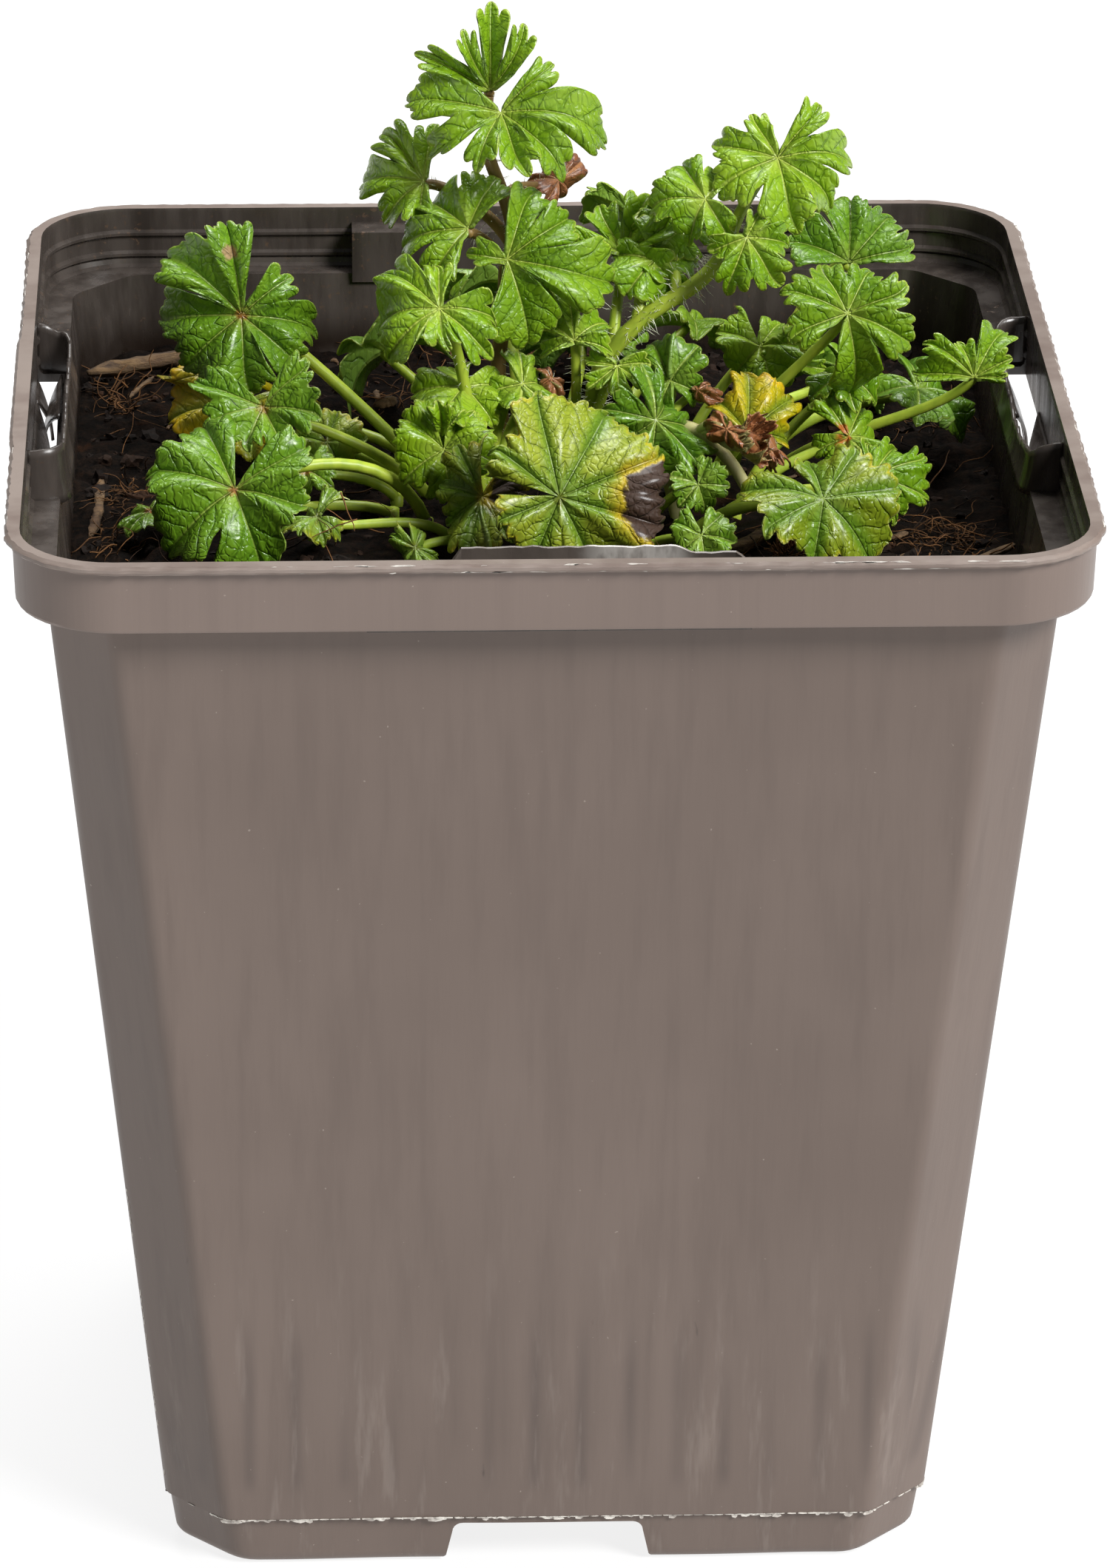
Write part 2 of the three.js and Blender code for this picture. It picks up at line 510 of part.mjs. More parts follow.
const SHOOTS = [
  // The tall brownish stem in the middle, with the topmost leaf
  shoot('stem_tall', GREEN, [[-3, 3], [-4.2, 4.5, 119], [-2.5, 6, 132], [-5.5, 8, 142]], [
    leaf([-4, 6, 146.5], 13, [0, 56], 0, 'cut', -14, 1, {
      fan: [[-101, 0.84, 6, 0.6], [-60, 0.7, -4, 0.3], [-24, 0.58, -16, 0.5], [14, 0.66, -18, 0.5], [50, 0.78, -8, 0.5],
        [88, 1, 4, 0.4], [124, 0.64, 12]],
    }),
    leaf([-5, 8.5, 148], 9.6, [6, 16], 0, 'young', 8, 1, {
      fold: 0.6, notch: 0.2, waist: 0.4, fan: [[-208, 0.92, 6], [-180, 1, -8], [-152, 0.8, 10], [-128, 1, -2]],
    }),
    leaf([-13.5, 8, 138.5], 8.5, [-30, 40], 0, 'cut', -22, 0.7, {
      fan: [[-185, 0.62, 4], [-140, 0.66, 5], [-80, 0.88, 0], [-32, 0.6, -14], [60, 0.5, -10]],
    }),
    leaf([-7.5, 2.5, 135], 9.5, [-15, 44], 0, 'cut', -24, 0.62, {
      fan: [[-200, 0.74, 6], [-124, 0.88, 8], [-80, 0.95, -2], [-28, 0.78, -14]],
    }),
    leaf([-3.5, -1, 132.8], 12.3, [8, 38], 0, 'cut', -12, 0.5, {
      fan: [[-99, 0.36, 8, 0.2], [14, 0.82, -14, 0.3], [72, 1.02, -4, 0.4], [120, 0.74, 10, 0.5], [158, 0.76, 6]],
    }),
    leaf([2, 12.5, 138.2], 5.6, [60, 50], 40, 'small', -30, 0.85),
  ], 1),
  // The hairy stem that leans to the right
  shoot('stem_hairy', LIME, [[8, 2], [7.5, 1, 114.5], [12, 1, 123], [20, 3, 130]], [
    leaf([24, 4, 142], 11, [2, 44], 0, 'cut', -12, 1, {
      fan: [[-158, 0.62, 6, 0.5], [-98, 0.74, -2, 0.45], [-34, 0.72, -14, 0.5], [32, 0.76, -12, 0.75], [70, 0.8, -2, 0.35],
        [98, 1, 6, 0.3], [146, 0.94, 8]],
    }),
    leaf([16.5, 2, 137], 8, [-25, 45], -75, 'cut', -24, 0.95),
    leaf([21.8, -1.5, 135], 6.8, [5, 30], 0, 'cut', -18, 0.95, {
      fan: [[-72, 0.7, 0], [-20, 1, -8], [34, 1, -8], [84, 0.8, 0], [150, 0.5, 4]],
    }),
    leaf([9, 6, 131], 7.5, [-10, 40], 165, 'young', 12, 0.5),
    leaf([11, 13, 132], 8, [170, 48], 15, 'young', -15, 0.62),
  ], 1),
  // The right-hand shoots
  shoot('shoot_right_high', GREEN, [[18, 2]], [
    leaf([33, -2, 127.8], 9.6, [0, 40], 0, 'cut', -14, 0, {
      fan: [[-130, 0.8, 4, 0.5], [-66, 0.84, -8, 0.2], [22, 0.96, -14, 0.5], [74, 0.92, -6, 0.55], [126, 0.84, 4]],
    }),
  ]),
  shoot('shoot_right_back', DARK, [[21, 9]], [
    leaf([33.2, 12, 128], 9, [10, 34], 0, 'cut', -8, 0, {
      fan: [[104, 0.95, 0, 0.5], [156, 1.05, 6, 0.5], [204, 0.7, 4, 0.6], [248, 0.85, 0]],
    }),
  ]),
  shoot('shoot_right_far', GREEN, [[25, 6.5]], [
    leaf([44.6, 1, 121.1], 8.2, [170, 74], 100, 'half', -14),
  ]),
  shoot('shoot_right_shade', DARK, [[24.8, 12]], [
    leaf([41, 13, 113], 7.6, [35, 62], 20, 'half', -18),
  ]),
  shoot('shoot_inner_right', GREEN, [[14, 4]], [
    leaf([23.6, 7.5, 119.9], 6.2, [0, 50], 15, 'half', -22),
    leaf([27.1, 8.1, 117.7], 4.8, [5, 15], 178, 'young', 6),
  ]),
  shoot('shoot_right_low', GREEN, [[21.5, -0.5]], [
    leaf([32.3, 2.5, 118.2], 5.4, [5, 64], 0, 'cut', -20),
  ]),
  shoot('leaf_right_spotted', GREEN, [[20.5, -4]], [
    leaf([33.5, -2.7, 112.9], 5.5, [10, 66], 10, 'half', -18),
  ]),
  shoot('leaf_right_corner', GREEN, [[18, -8]], [
    leaf([37.5, -11.8, 110.7], 7, [25, 62], 40, 'half', -16),
  ]),
  shoot('leaf_right_front', OLIVE, [[15, -12]], [
    leaf([28.2, -20, 112.6], 9.6, [10, 62], 0, 'round', -14, 0, {
      notch: 0.68, fan: [[-113, 0.9, 0], [-64, 0.66, -10], [-10, 0.6, -18], [50, 0.98, -10], [106, 0.84, 0], [166, 0.7, 8]],
    }),
  ]),
  shoot('leaf_yellow_right', YELLOW, [[17.5, -2]], [
    leaf([24.3, -6, 116], 6, [15, 50], 60, 'small', -26),
  ]),
  shoot('leaf_dead_right', BROWN, [[14.5, -5.5]], [
    leaf([20, -12, 116.6], 3.8, [10, 65], 60, 'small', -45),
  ]),
  // The middle
  shoot('leaf_front_round', OLIVE, [[3, -13.5]], [
    leaf([1.2, -22.5, 114.6], 11.8, [4, 28], 0, 'round', -8, 0, {
      fan: [[-70, 0.62, 0], [-24, 0.66, -4], [26, 0.84, -6], [72, 0.98, -4], [110, 1.04, 0], [148, 1.02, 2], [190, 1, 2],
        [232, 0.74, 0]],
    }),
  ]),
  shoot('leaf_front_holed', OLIVE, [[-2, -11]], [
    leaf([-6.5, -16, 112.2], 6.3, [-15, 40], -10, 'round', -16),
  ]),
  shoot('leaf_front_inner', DARK, [[7, -7.5]], [
    leaf([11.5, -9, 117.8], 7, [15, 38], 40, 'half', -18),
  ]),
  shoot('leaf_front_dark', DARK, [[10.5, -9.5]], [
    leaf([16, -13, 112.2], 3.6, [5, 40], 20, 'small', -16),
  ]),
  shoot('leaf_front_low', DARK, [[10, -15.5]], [
    leaf([17, -21, 109.4], 4.6, [0, 55], 10, 'small', -16),
  ]),
  shoot('shoot_middle', LIME, [[-6, -4]], [
    leaf([-11.3, -8, 131], 10.2, [-12, 52], 0, 'half', -26, 0, {
      fan: [[-150, 0.72, 2, 0.75], [-106, 0.98, -2, 0.85], [-66, 1, -6, 0.88], [-30, 0.82, -10, 0.25], [36, 0.78, -10, 0.75],
        [82, 0.78, -4, 0.7], [126, 0.66, 2]],
    }),
    leaf([-10.5, -9, 114.5], 6, [-5, 55], 0, 'young', -8),
    leaf([-10.5, -8, 115.5], 5, [0, 8], 180, 'young', 6),
    leaf([-8, -3.3, 119.4], 5.9, [-10, 50], -20, 'half', -18),
    leaf([-1.9, -2.8, 119.7], 4.2, [15, 45], 40, 'small', -18),
  ]),
  shoot('bud_middle', LIME, [[3.5, -1.5]], [
    leaf([8, -2.5, 121.5], 4.6, [0, 40], 0, 'young', 10),
    leaf([3.5, -1.5, 124], 5.5, [-10, 50], -170, 'young', -6),
  ]),
  // The left side
  shoot('leaf_left_upper', DARK, [[-10.5, 5]], [
    leaf([-31.2, 10, 122.9], 11, [0, 34], 0, 'half', -12, 0, {
      notch: 0.4, fan: [[-168, 0.98, 16, 0.6], [-128, 1.04, 8, 0.3], [-88, 0.9, -2, 0.82], [-50, 0.8, -12, 0.5],
        [4, 0.76, -18, 0.5], [52, 0.78, -10, 0.82], [88, 0.82, 0, 0.6], [130, 0.7, 10]],
    }),
  ]),
  shoot('leaf_left_curled', DARK, [[-11.5, 1]], [
    leaf([-29, -1.6, 116.9], 8.2, [-12, 60], 0, 'half', 12, 0, {
      fan: [[-108, 1, 8], [-62, 0.8, -10], [-15, 0.6, -30], [35, 0.6, -28], [83, 0.8, 2], [130, 0.85, 10]],
    }),
  ]),
  shoot('leaf_left_yellow', YELLOW, [[-12, 9]], [
    leaf([-31, 14, 111.6], 9.4, [-25, 72], -20, 'round', -14),
  ]),
  shoot('leaf_left_olive', OLIVE, [[-14.5, 5.5]], [
    leaf([-22.3, 4.5, 110.6], 4.6, [0, 55], 30, 'small', -18),
  ]),
  shoot('leaf_left_front', DARK, [[-12, -6.5]], [
    leaf([-32, -16, 113.2], 10.6, [-8, 46], 0, 'half', -12, 0, {
      fan: [[-150, 0.86, 4, 0.72], [-102, 0.92, 0, 0.8], [-50, 1, -6, 0.32], [28, 0.88, -6, 0.72], [78, 0.78, 0, 0.85],
        [122, 0.88, 4]],
    }),
  ]),
  shoot('leaf_left_edge', DARK, [[-15.5, -3.5]], [
    leaf([-42, -9, 108.2], 5, [-50, 74], 0, 'small', -16),
  ]),
  shoot('leaf_left_small', DARK, [[-15, 0.5]], [
    leaf([-24.5, -2, 110], 3.8, [-20, 60], 0, 'small', -20),
  ]),
  shoot('leaf_left_low', YELLOW, [[-9.5, -11]], [
    leaf([-23.6, -14, 109.4], 4.2, [-20, 70], -60, 'small', -14),
  ]),
  shoot('leaf_fallen_small', YELLOW, [[-6, -14]], [
    leaf([-13.5, -18.5, 107.6], 3.6, [0, 60], 20, 'small', -20),
  ]),
  // The back
  shoot('leaf_back_left', GREEN, [[-7, 9]], [
    leaf([-16, 24, 114], 9, [-150, 52], 0, 'half', -16),
  ]),
  shoot('leaf_back_middle', GREEN, [[-1.5, 8.5]], [
    leaf([-3, 26, 121], 9.5, [-175, 48], 0, 'cut', -14),
  ]),
  shoot('leaf_back_low', DARK, [[3, 11]], [
    leaf([6, 34, 111.5], 9, [175, 62], 5, 'round', -16),
  ]),
  shoot('leaf_back_right', LIME, [[7.5, 8.5]], [
    leaf([17, 26, 116], 8.5, [150, 52], -5, 'half', -16),
  ]),
  shoot('leaf_back_corner', DARK, [[15, 12]], [
    leaf([34, 27, 110.5], 8.5, [135, 66], 0, 'round', -14),
  ]),
];

// Parts

function part(name, solid, color, roughness = 0.6) {
  const material = new THREE.MeshStandardMaterial({ color, roughness, metalness: 0 });
  const mesh = new THREE.Mesh(geometryOf(solid), material);
  mesh.name = name;
  return mesh;
}

const plant = new THREE.Group();
SHOOTS.forEach((row) => plant.add(part(row.name, shootSolid(row), row.color)));

const pottedMallow = new THREE.Group();
pottedMallow.add(part('pot', potSolid(), 0x7d7370, 0.5));
pottedMallow.add(part('compost', compostSolid(SHOOTS), 0x2a1d14, 0.95));
pottedMallow.add(plant);

export default pottedMallow;
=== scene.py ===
# The looks of a young musk mallow in a square nursery pot.
# Lengths are written in millimetres and turned into metres where a mesh is made.
# +Z is up, -Y is the side that the camera sees, and the origin is the middle of the pot's footprint.

import math

import bpy
import numpy as np
from mathutils import Matrix, Vector


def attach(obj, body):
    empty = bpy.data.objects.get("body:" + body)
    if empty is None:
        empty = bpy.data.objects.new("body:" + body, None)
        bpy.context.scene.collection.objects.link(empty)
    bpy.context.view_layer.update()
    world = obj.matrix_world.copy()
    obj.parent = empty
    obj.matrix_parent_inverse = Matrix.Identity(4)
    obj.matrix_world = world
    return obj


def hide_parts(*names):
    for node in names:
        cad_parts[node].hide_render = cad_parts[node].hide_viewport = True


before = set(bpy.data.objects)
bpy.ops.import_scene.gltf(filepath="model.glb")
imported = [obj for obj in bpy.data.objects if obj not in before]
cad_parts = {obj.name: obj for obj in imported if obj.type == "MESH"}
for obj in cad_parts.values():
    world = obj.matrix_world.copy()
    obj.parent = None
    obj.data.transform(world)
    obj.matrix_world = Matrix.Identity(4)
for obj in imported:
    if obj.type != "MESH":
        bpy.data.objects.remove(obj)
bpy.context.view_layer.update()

MM = 0.001
TINY = 1e-12
rng = np.random.default_rng(7)


# Measures shared with the solids

RIM_WIDTH = 110
POT_HEIGHT = 120
BASE_WIDTH = 80
WALL = 0.9
LIP_OUT = 1
LIP_THICK = 0.9
BAND_HEIGHT = 7.5
BAND_ROUND = 10.3
BAND_DRAFT = 0.2
BODY_TOP_WIDTH = 101.4
BODY_CHAMFER = 6.5
FOOT_ROUND = 1.6
CHANNEL_HEIGHT = 5
DRAIN_RADIUS = 3.5
DRAIN_REACH = 24
RIB_LEVELS = [114.7, 117.1]
BOX_HALF_LENGTH = 19
BOX_INNER = 49.4
BOX_WALL = 0.8
BOX_TOP = 118.3
SLOT_INNER = 50.2
COMPOST_LEVEL = 104.3
COMPOST_ROUGH = 0.8
NECK = 1.8
STALK_RADIUS = 0.68
SEAT = 0.4

LEDGE_LEVEL = POT_HEIGHT - BAND_HEIGHT
BAND_HALF = RIM_WIDTH / 2 - LIP_OUT


# Meshes

def make_object(name, points, faces, materials, smooth=True, indices=None):
    mesh = bpy.data.meshes.new(name)
    mesh.from_pydata((np.asarray(points, float) * MM).tolist(), [], [list(map(int, f)) for f in faces])
    for material in materials:
        mesh.materials.append(material)
    if indices is not None:
        mesh.polygons.foreach_set("material_index", np.asarray(indices, np.int32))
    mesh.polygons.foreach_set("use_smooth", [smooth] * len(mesh.polygons))
    mesh.update()
    obj = bpy.data.objects.new(name, mesh)
    bpy.context.scene.collection.objects.link(obj)
    return obj


def settle(obj, stands_for=None):
    """The piece goes with the pot, and may stand for a solid."""
    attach(obj, "root")
    if stands_for:
        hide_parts(stands_for)


class Pile:
    """Points and faces gathered from many small forms into one mesh, with the values its materials read."""

    def __init__(self):
        self.points = []
        self.faces = []
        self.slots = []
        self.values = {}
        self.count = 0

    def add(self, points, faces, slot=0, **values):
        self.points.append(np.asarray(points, float))
        self.faces += [[int(i) + self.count for i in f] for f in faces]
        self.slots += [slot] * len(faces)
        for key in sorted(set(values) | set(self.values)):
            wide = 3 if key == "rib" else 1
            blocks = self.values.setdefault(key, [np.zeros((self.count, wide))])
            given = np.asarray(values.get(key, 0.0), float)
            blocks.append(np.broadcast_to(given.reshape(-1, wide), (len(points), wide)) if given.ndim
                          else np.full((len(points), wide), given))
        self.count += len(points)

    def finish(self, name, materials, smooth=True):
        obj = make_object(name, np.vstack(self.points), self.faces, materials, smooth, self.slots)
        for key, blocks in self.values.items():
            kind, field = ("FLOAT_VECTOR", "vector") if key == "rib" else ("FLOAT", "value")
            layer = obj.data.attributes.new(key, kind, "POINT")
            layer.data.foreach_set(field, np.vstack(blocks).astype(np.float32).ravel())
        return obj


def unit(v):
    v = np.asarray(v, float)
    return v / (np.linalg.norm(v) + TINY)


def ring_faces(count, levels):
    """The faces of a body made of rings with count points each, closed at both ends."""
    faces = []
    for level in range(levels - 1):
        for k in range(count):
            a = level * count + k
            b = level * count + (k + 1) % count
            faces.append([a, b, b + count, a + count])
    last = (levels - 1) * count
    return faces + [list(range(count))[::-1], [last + k for k in range(count)]]


def grid_quads(ids):
    """The quads of a grid of point numbers."""
    return np.stack([ids[:-1, :-1], ids[1:, :-1], ids[1:, 1:], ids[:-1, 1:]], axis=-1).reshape(-1, 4)


def point_normals(points, quads):
    across = np.cross(points[quads[:, 2]] - points[quads[:, 0]], points[quads[:, 3]] - points[quads[:, 1]])
    normals = np.zeros_like(points)
    for corner in range(4):
        np.add.at(normals, quads[:, corner], across)
    return normals / (np.linalg.norm(normals, axis=1)[:, None] + TINY)


def closed_sheet(top, under, faces, border):
    """The two layers of a thin sheet, joined along their border."""
    total = len(top)
    closed = list(faces) + [[v + total for v in f][::-1] for f in faces]
    closed += [[w, v, v + total, w + total] for v, w in zip(border, border[1:] + border[:1])]
    return np.vstack([top, under]), closed


def sheet_form(grid, thick):
    """A closed thin sheet from a grid of points, rows by columns."""
    top = grid.reshape(-1, 3)
    ids = np.arange(len(top)).reshape(grid.shape[:2])
    quads = grid_quads(ids.T)
    border = [*ids[0], *ids[1:, -1], *ids[-1, -2::-1], *ids[-2:0:-1, 0]]
    return closed_sheet(top, top - point_normals(top, quads) * thick, quads.tolist(), border)


def tube_form(path, radii, sides):
    """A round tube along points, closed at both ends."""
    path = np.asarray(path, float)
    radii = np.broadcast_to(np.asarray(radii, float), (len(path),))
    tangents = np.gradient(path, axis=0)
    tangents /= np.linalg.norm(tangents, axis=1)[:, None] + TINY
    guide = [0.31, 0.2, 0.93] if abs(tangents[0][2]) < 0.8 else [0.9, 0.3, 0.1]
    across = unit(np.cross(tangents[0], guide))
    turn = np.arange(sides)[:, None] * 2 * math.pi / sides
    rings = []
    for middle, tangent, radius in zip(path, tangents, radii):
        across = unit(across - tangent * np.dot(across, tangent))
        rings.append(middle + radius * (np.cos(turn) * across + np.sin(turn) * np.cross(tangent, across)))
    return np.vstack(rings), ring_faces(sides, len(path))


def bezier(p0, p1, p2, p3, steps):
    t = np.linspace(0, 1, steps + 1)[:, None]
    return (1 - t) ** 3 * p0 + 3 * (1 - t) ** 2 * t * p1 + 3 * (1 - t) * t ** 2 * p2 + t ** 3 * p3


def smooth_path(points, steps):
    """A smooth curve through the points, with so many steps between two of them."""
    points = [np.array(p, float) for p in points]
    ends = [2 * points[0] - points[1]] + points + [2 * points[-1] - points[-2]]
    out = []
    for k in range(len(points) - 1):
        a, b, c, d = ends[k:k + 4]
        for t in np.arange(steps) / steps:
            out.append(0.5 * (2 * b + (c - a) * t + (2 * a - 5 * b + 4 * c - d) * t * t
                              + (3 * b - a - 3 * c + d) * t ** 3))
    return np.array(out + [points[-1]])


def lengths_along(path):
    return np.concatenate([[0], np.cumsum(np.linalg.norm(np.diff(path, axis=0), axis=1))])


def at_share(path, share):
    """The place on a path at a share of its length."""
    lengths = lengths_along(path)
    return np.array([np.interp(share * lengths[-1], lengths, path[:, k]) for k in range(3)])


# Material helpers

class Value:
    """What one node gives. It adds, subtracts and multiplies as a number does."""

    def __init__(self, owner, socket):
        self.owner = owner
        self.socket = socket

    def __add__(self, other):
        return self.owner.math("ADD", self, other)

    def __sub__(self, other):
        return self.owner.math("SUBTRACT", self, other)

    def __mul__(self, other):
        return self.owner.math("MULTIPLY", self, other)


class Nodes:
    """Short calls for building one material."""

    def __init__(self, name):
        self.material = bpy.data.materials.new(name)
        self.material.use_nodes = True
        self.tree = self.material.node_tree
        self.shader = self.tree.nodes["Principled BSDF"]
        self.place = self.give("ShaderNodeTexCoord", output="Object")

    def node(self, kind, inputs=(), **settings):
        made = self.tree.nodes.new(kind)
        for key, value in settings.items():
            setattr(made, key, value)
        for key, value in dict(inputs).items():
            self.feed(made.inputs[key], value)
        return made

    def feed(self, socket, value):
        if isinstance(value, Value):
            self.tree.links.new(value.socket, socket)
        else:
            socket.default_value = value

    def give(self, kind, inputs=(), output=0, **settings):
        return Value(self, self.node(kind, inputs, **settings).outputs[output])

    def math(self, operation, a, b=0.0):
        return self.give("ShaderNodeMath", {0: a, 1: b}, operation=operation)

    def ramp(self, value, low, high, to_low=0.0, to_high=1.0):
        """A smooth rise while the value goes from low to high, which may be the smaller of the two."""
        inputs = enumerate((value, low, high, to_low, to_high))
        return self.give("ShaderNodeMapRange", inputs, interpolation_type="SMOOTHSTEP")

    def mix(self, factor, a, b):
        return self.give("ShaderNodeMix", {0: factor, 6: a, 7: b}, 2, data_type="RGBA")

    def noise(self, scale, detail=3.0, rough=0.5):
        """Noise over the object's place, with one scale or with one for each axis."""
        vector = self.place
        if isinstance(scale, tuple):
            vector = self.give("ShaderNodeMapping", {"Vector": vector, "Scale": scale})
            scale = 1.0
        inputs = {"Vector": vector, "Scale": scale, "Detail": detail, "Roughness": rough}
        return self.give("ShaderNodeTexNoise", inputs)

    def parts(self, vector):
        return [Value(self, part) for part in self.node("ShaderNodeSeparateXYZ", {0: vector}).outputs]

    def place_mm(self):
        return [part * (1 / MM) for part in self.parts(self.place)]

    def attribute(self, name, output="Fac"):
        return self.give("ShaderNodeAttribute", output=output, attribute_name=name)

    def bump(self, height, strength, distance):
        inputs = {"Height": height, "Strength": strength, "Distance": distance * MM}
        return self.give("ShaderNodeBump", inputs)

    def put(self, **sockets):
        """Feeds the shader's own sockets, named with _ for each space."""
        for key, value in sockets.items():
            self.feed(self.shader.inputs[key.replace("_", " ")], value)
        return self.material


def srgb(r, g, b):
    """A colour as seen, 0 to 255, in the linear values that nodes hold."""
    def linear(c):
        c /= 255
        return c / 12.92 if c <= 0.04045 else ((c + 0.055) / 1.055) ** 2.4
    return (linear(r), linear(g), linear(b), 1.0)


# Leaf material

# Colours of the body, the darker body, the rib and the edge, reach of the edge's colour, roughness
LEAF_LOOKS = {
    "green": ((148, 186, 34), (102, 148, 14), (186, 204, 86), (156, 188, 48), 0.5, 0.34),
    "lime": ((160, 196, 36), (116, 162, 14), (200, 216, 96), (172, 202, 60), 0.5, 0.36),
    "dark": ((140, 182, 44), (94, 140, 26), (168, 190, 84), (134, 170, 54), 0.4, 0.32),
    "yellow": ((232, 200, 6), (190, 180, 16), (234, 212, 70), (238, 190, 12), 1.5, 0.36),
    "olive": ((168, 182, 54), (126, 148, 26), (206, 210, 116), (206, 190, 40), 0.8, 0.34),
    "brown": ((176, 106, 54), (92, 52, 28), (176, 120, 72), (120, 66, 34), 1.0, 0.6),
}
# colour of the painted shade in the sunken net lines
NET_GROOVE_SHADE = srgb(40, 50, 20)
RED_HEART = srgb(176, 80, 34)
RED_VEIN = srgb(110, 60, 30)
STILL_GREEN = srgb(96, 144, 36)
UNDERSIDE = srgb(140, 172, 100)
LIT_THROUGH = srgb(170, 210, 40)
BRANCH_STEP = 2.1
NET_SCALE = 1.25
LEAF_RELIEF = 0.16

# Dead and rusty patches on the leaves of a colour: middle, radius and sort
PATCHES = {
    "olive": [((12, -23, 114), 4.5, "dead"), ((-3.7, -16, 113), 2.1, "dead")],
    "green": [((31.6, -3, 113.8), 1.1, "rust"), ((-2.8, 4.6, 145), 0.3, "spot")],
    "lime": [((29.4, 6.4, 147), 0.4, "spot"), ((18.6, 1, 129.6), 0.7, "rust")],
    "dark": [((-32.5, 10, 130), 0.9, "pale")],
}
PATCH_COLOURS = {"dead": srgb(66, 44, 30), "spot": srgb(70, 48, 30), "rust": srgb(196, 112, 28),
                 "pale": srgb(176, 146, 104)}
PATCH_RING = srgb(206, 180, 40)


def leaf_material(kind):
    *colours, edge_reach, rough = LEAF_LOOKS[kind]
    body, deep, rib_colour, edge_colour = [srgb(*c) for c in colours]
    n = Nodes("leaf_" + kind)
    along, aside, rim = n.parts(n.attribute("rib", "Vector"))
    tone = n.attribute("tone")

    # ribs, branches and the net between them
    main = n.ramp(aside, 0.17, 0.03)
    wobble = n.noise(300.0, 2.0) * 2.6 - 1.3
    to_branch = n.math("PINGPONG", along - aside + wobble, BRANCH_STEP / 2) * 0.72
    branch = n.ramp(to_branch, 0.13, 0.02) * n.ramp(aside, 0.1, 0.4)
    flat = n.give("ShaderNodeCombineXYZ", {"X": along, "Y": aside, "Z": tone * 40.0})
    warp = n.give("ShaderNodeTexNoise", {"Vector": flat, "Scale": 0.9, "Detail": 1.0}, "Color")
    warped = n.give("ShaderNodeVectorMath", {0: flat, 1: warp}, operation="ADD")
    net = n.give("ShaderNodeTexVoronoi", {"Vector": warped, "Scale": NET_SCALE}, "Distance",
                 feature="DISTANCE_TO_EDGE")
    puff = n.ramp(net, -0.04, 0.24) * 0.5
    puff = puff + n.ramp(n.math("MINIMUM", to_branch, aside), -0.1, 0.5, 0.0, 0.5)

    # body, edge and veins, with painted light on the puffs and painted shade in the sunken net and branch
    # veins
    cloud = n.noise(130.0)
    # a low tone darkens a leaf; on leaves that sit in shade this is painted shade
    shade = tone * 0.5 + n.ramp(cloud, 0.35, 0.7, 0.0, 0.45) + puff * 0.3 - 0.15
    colour = n.mix(shade, deep, body)
    colour = n.mix(n.ramp(rim, edge_reach, 0.0) * n.ramp(cloud, 0.3, 0.62), colour, edge_colour)
    colour = n.mix(n.ramp(rim, 0.05, 0.22, 0.7, 0.0), colour, rib_colour)
    # painted shade in the sunken net lines and, below, in the branch veins
    colour = n.mix(n.ramp(net, 0.0, 0.07, 0.26, 0.0), colour, n.mix(0.35, deep, NET_GROOVE_SHADE))
    colour = n.mix(branch * 0.45, colour, deep)
    colour = n.mix(n.ramp(along, 0.2, 3.0, 0.5, 0.0), colour, rib_colour)
    colour = n.mix(main * n.ramp(along, 1.5, 9.0, 0.8, 0.25), colour, rib_colour)
    if kind in ("dark", "olive"):
        heart = along + n.noise(1100.0, 2.0) * 2.4 - 1.2
        # leaves with a low tone, such as those darkened as painted shade, have no red heart
        in_light = n.ramp(tone, 0.1, 0.2)
        colour = n.mix(n.ramp(heart, 0.1, 1.0, 0.75, 0.0) * in_light, colour, RED_HEART)
        colour = n.mix(main * n.ramp(along, 0.6, 3.0, 0.4, 0.0) * in_light, colour, RED_VEIN)
    if kind in ("yellow", "olive"):
        colour = n.mix(n.ramp(aside + cloud * 2.0, 1.0, 2.6, 0.7, 0.0), colour, STILL_GREEN)
    colour = n.mix(n.attribute("under") * 0.75, colour, n.mix(0.5, colour, UNDERSIDE))

    # dead and rusty patches
    rough_now = n.ramp(cloud, 0.3, 0.7, rough - 0.04, rough + 0.08)
    grain = n.noise(700.0, 4.0) * 2.6
    for middle, radius, sort in PATCHES.get(kind, []):
        spot = [c * MM for c in middle]
        away = n.give("ShaderNodeVectorMath", {0: n.place, 1: spot}, "Value", operation="DISTANCE")
        ragged = away * (1 / MM) + grain
        patch = n.ramp(ragged, radius + 1.5, radius + 0.9)
        if sort == "dead":
            colour = n.mix(n.ramp(ragged, radius + 3.4, radius + 1.2), colour, PATCH_RING)
        colour = n.mix(patch, colour, PATCH_COLOURS[sort])
        rough_now = n.math("MAXIMUM", rough_now, patch * 0.7)

    grooves = n.math("MAXIMUM", main, branch * 0.9)
    height = puff - grooves * 0.7 + n.noise(700.0, 2.0) * 0.3
    n.put(Base_Color=colour, Roughness=rough_now, Normal=n.bump(height, 1.0, LEAF_RELIEF),
          Specular_IOR_Level=0.5, Coat_Weight=0.46, Coat_Roughness=0.23)

    # light that comes through the blade
    glow = n.give("ShaderNodeBsdfTranslucent", {"Color": n.mix(0.45, colour, LIT_THROUGH)})
    through = 0.05 if kind == "brown" else 0.18
    both = n.give("ShaderNodeMixShader", {0: through, 1: Value(n, n.shader.outputs[0]), 2: glow})
    n.feed(n.tree.nodes["Material Output"].inputs["Surface"], both)
    return n.material


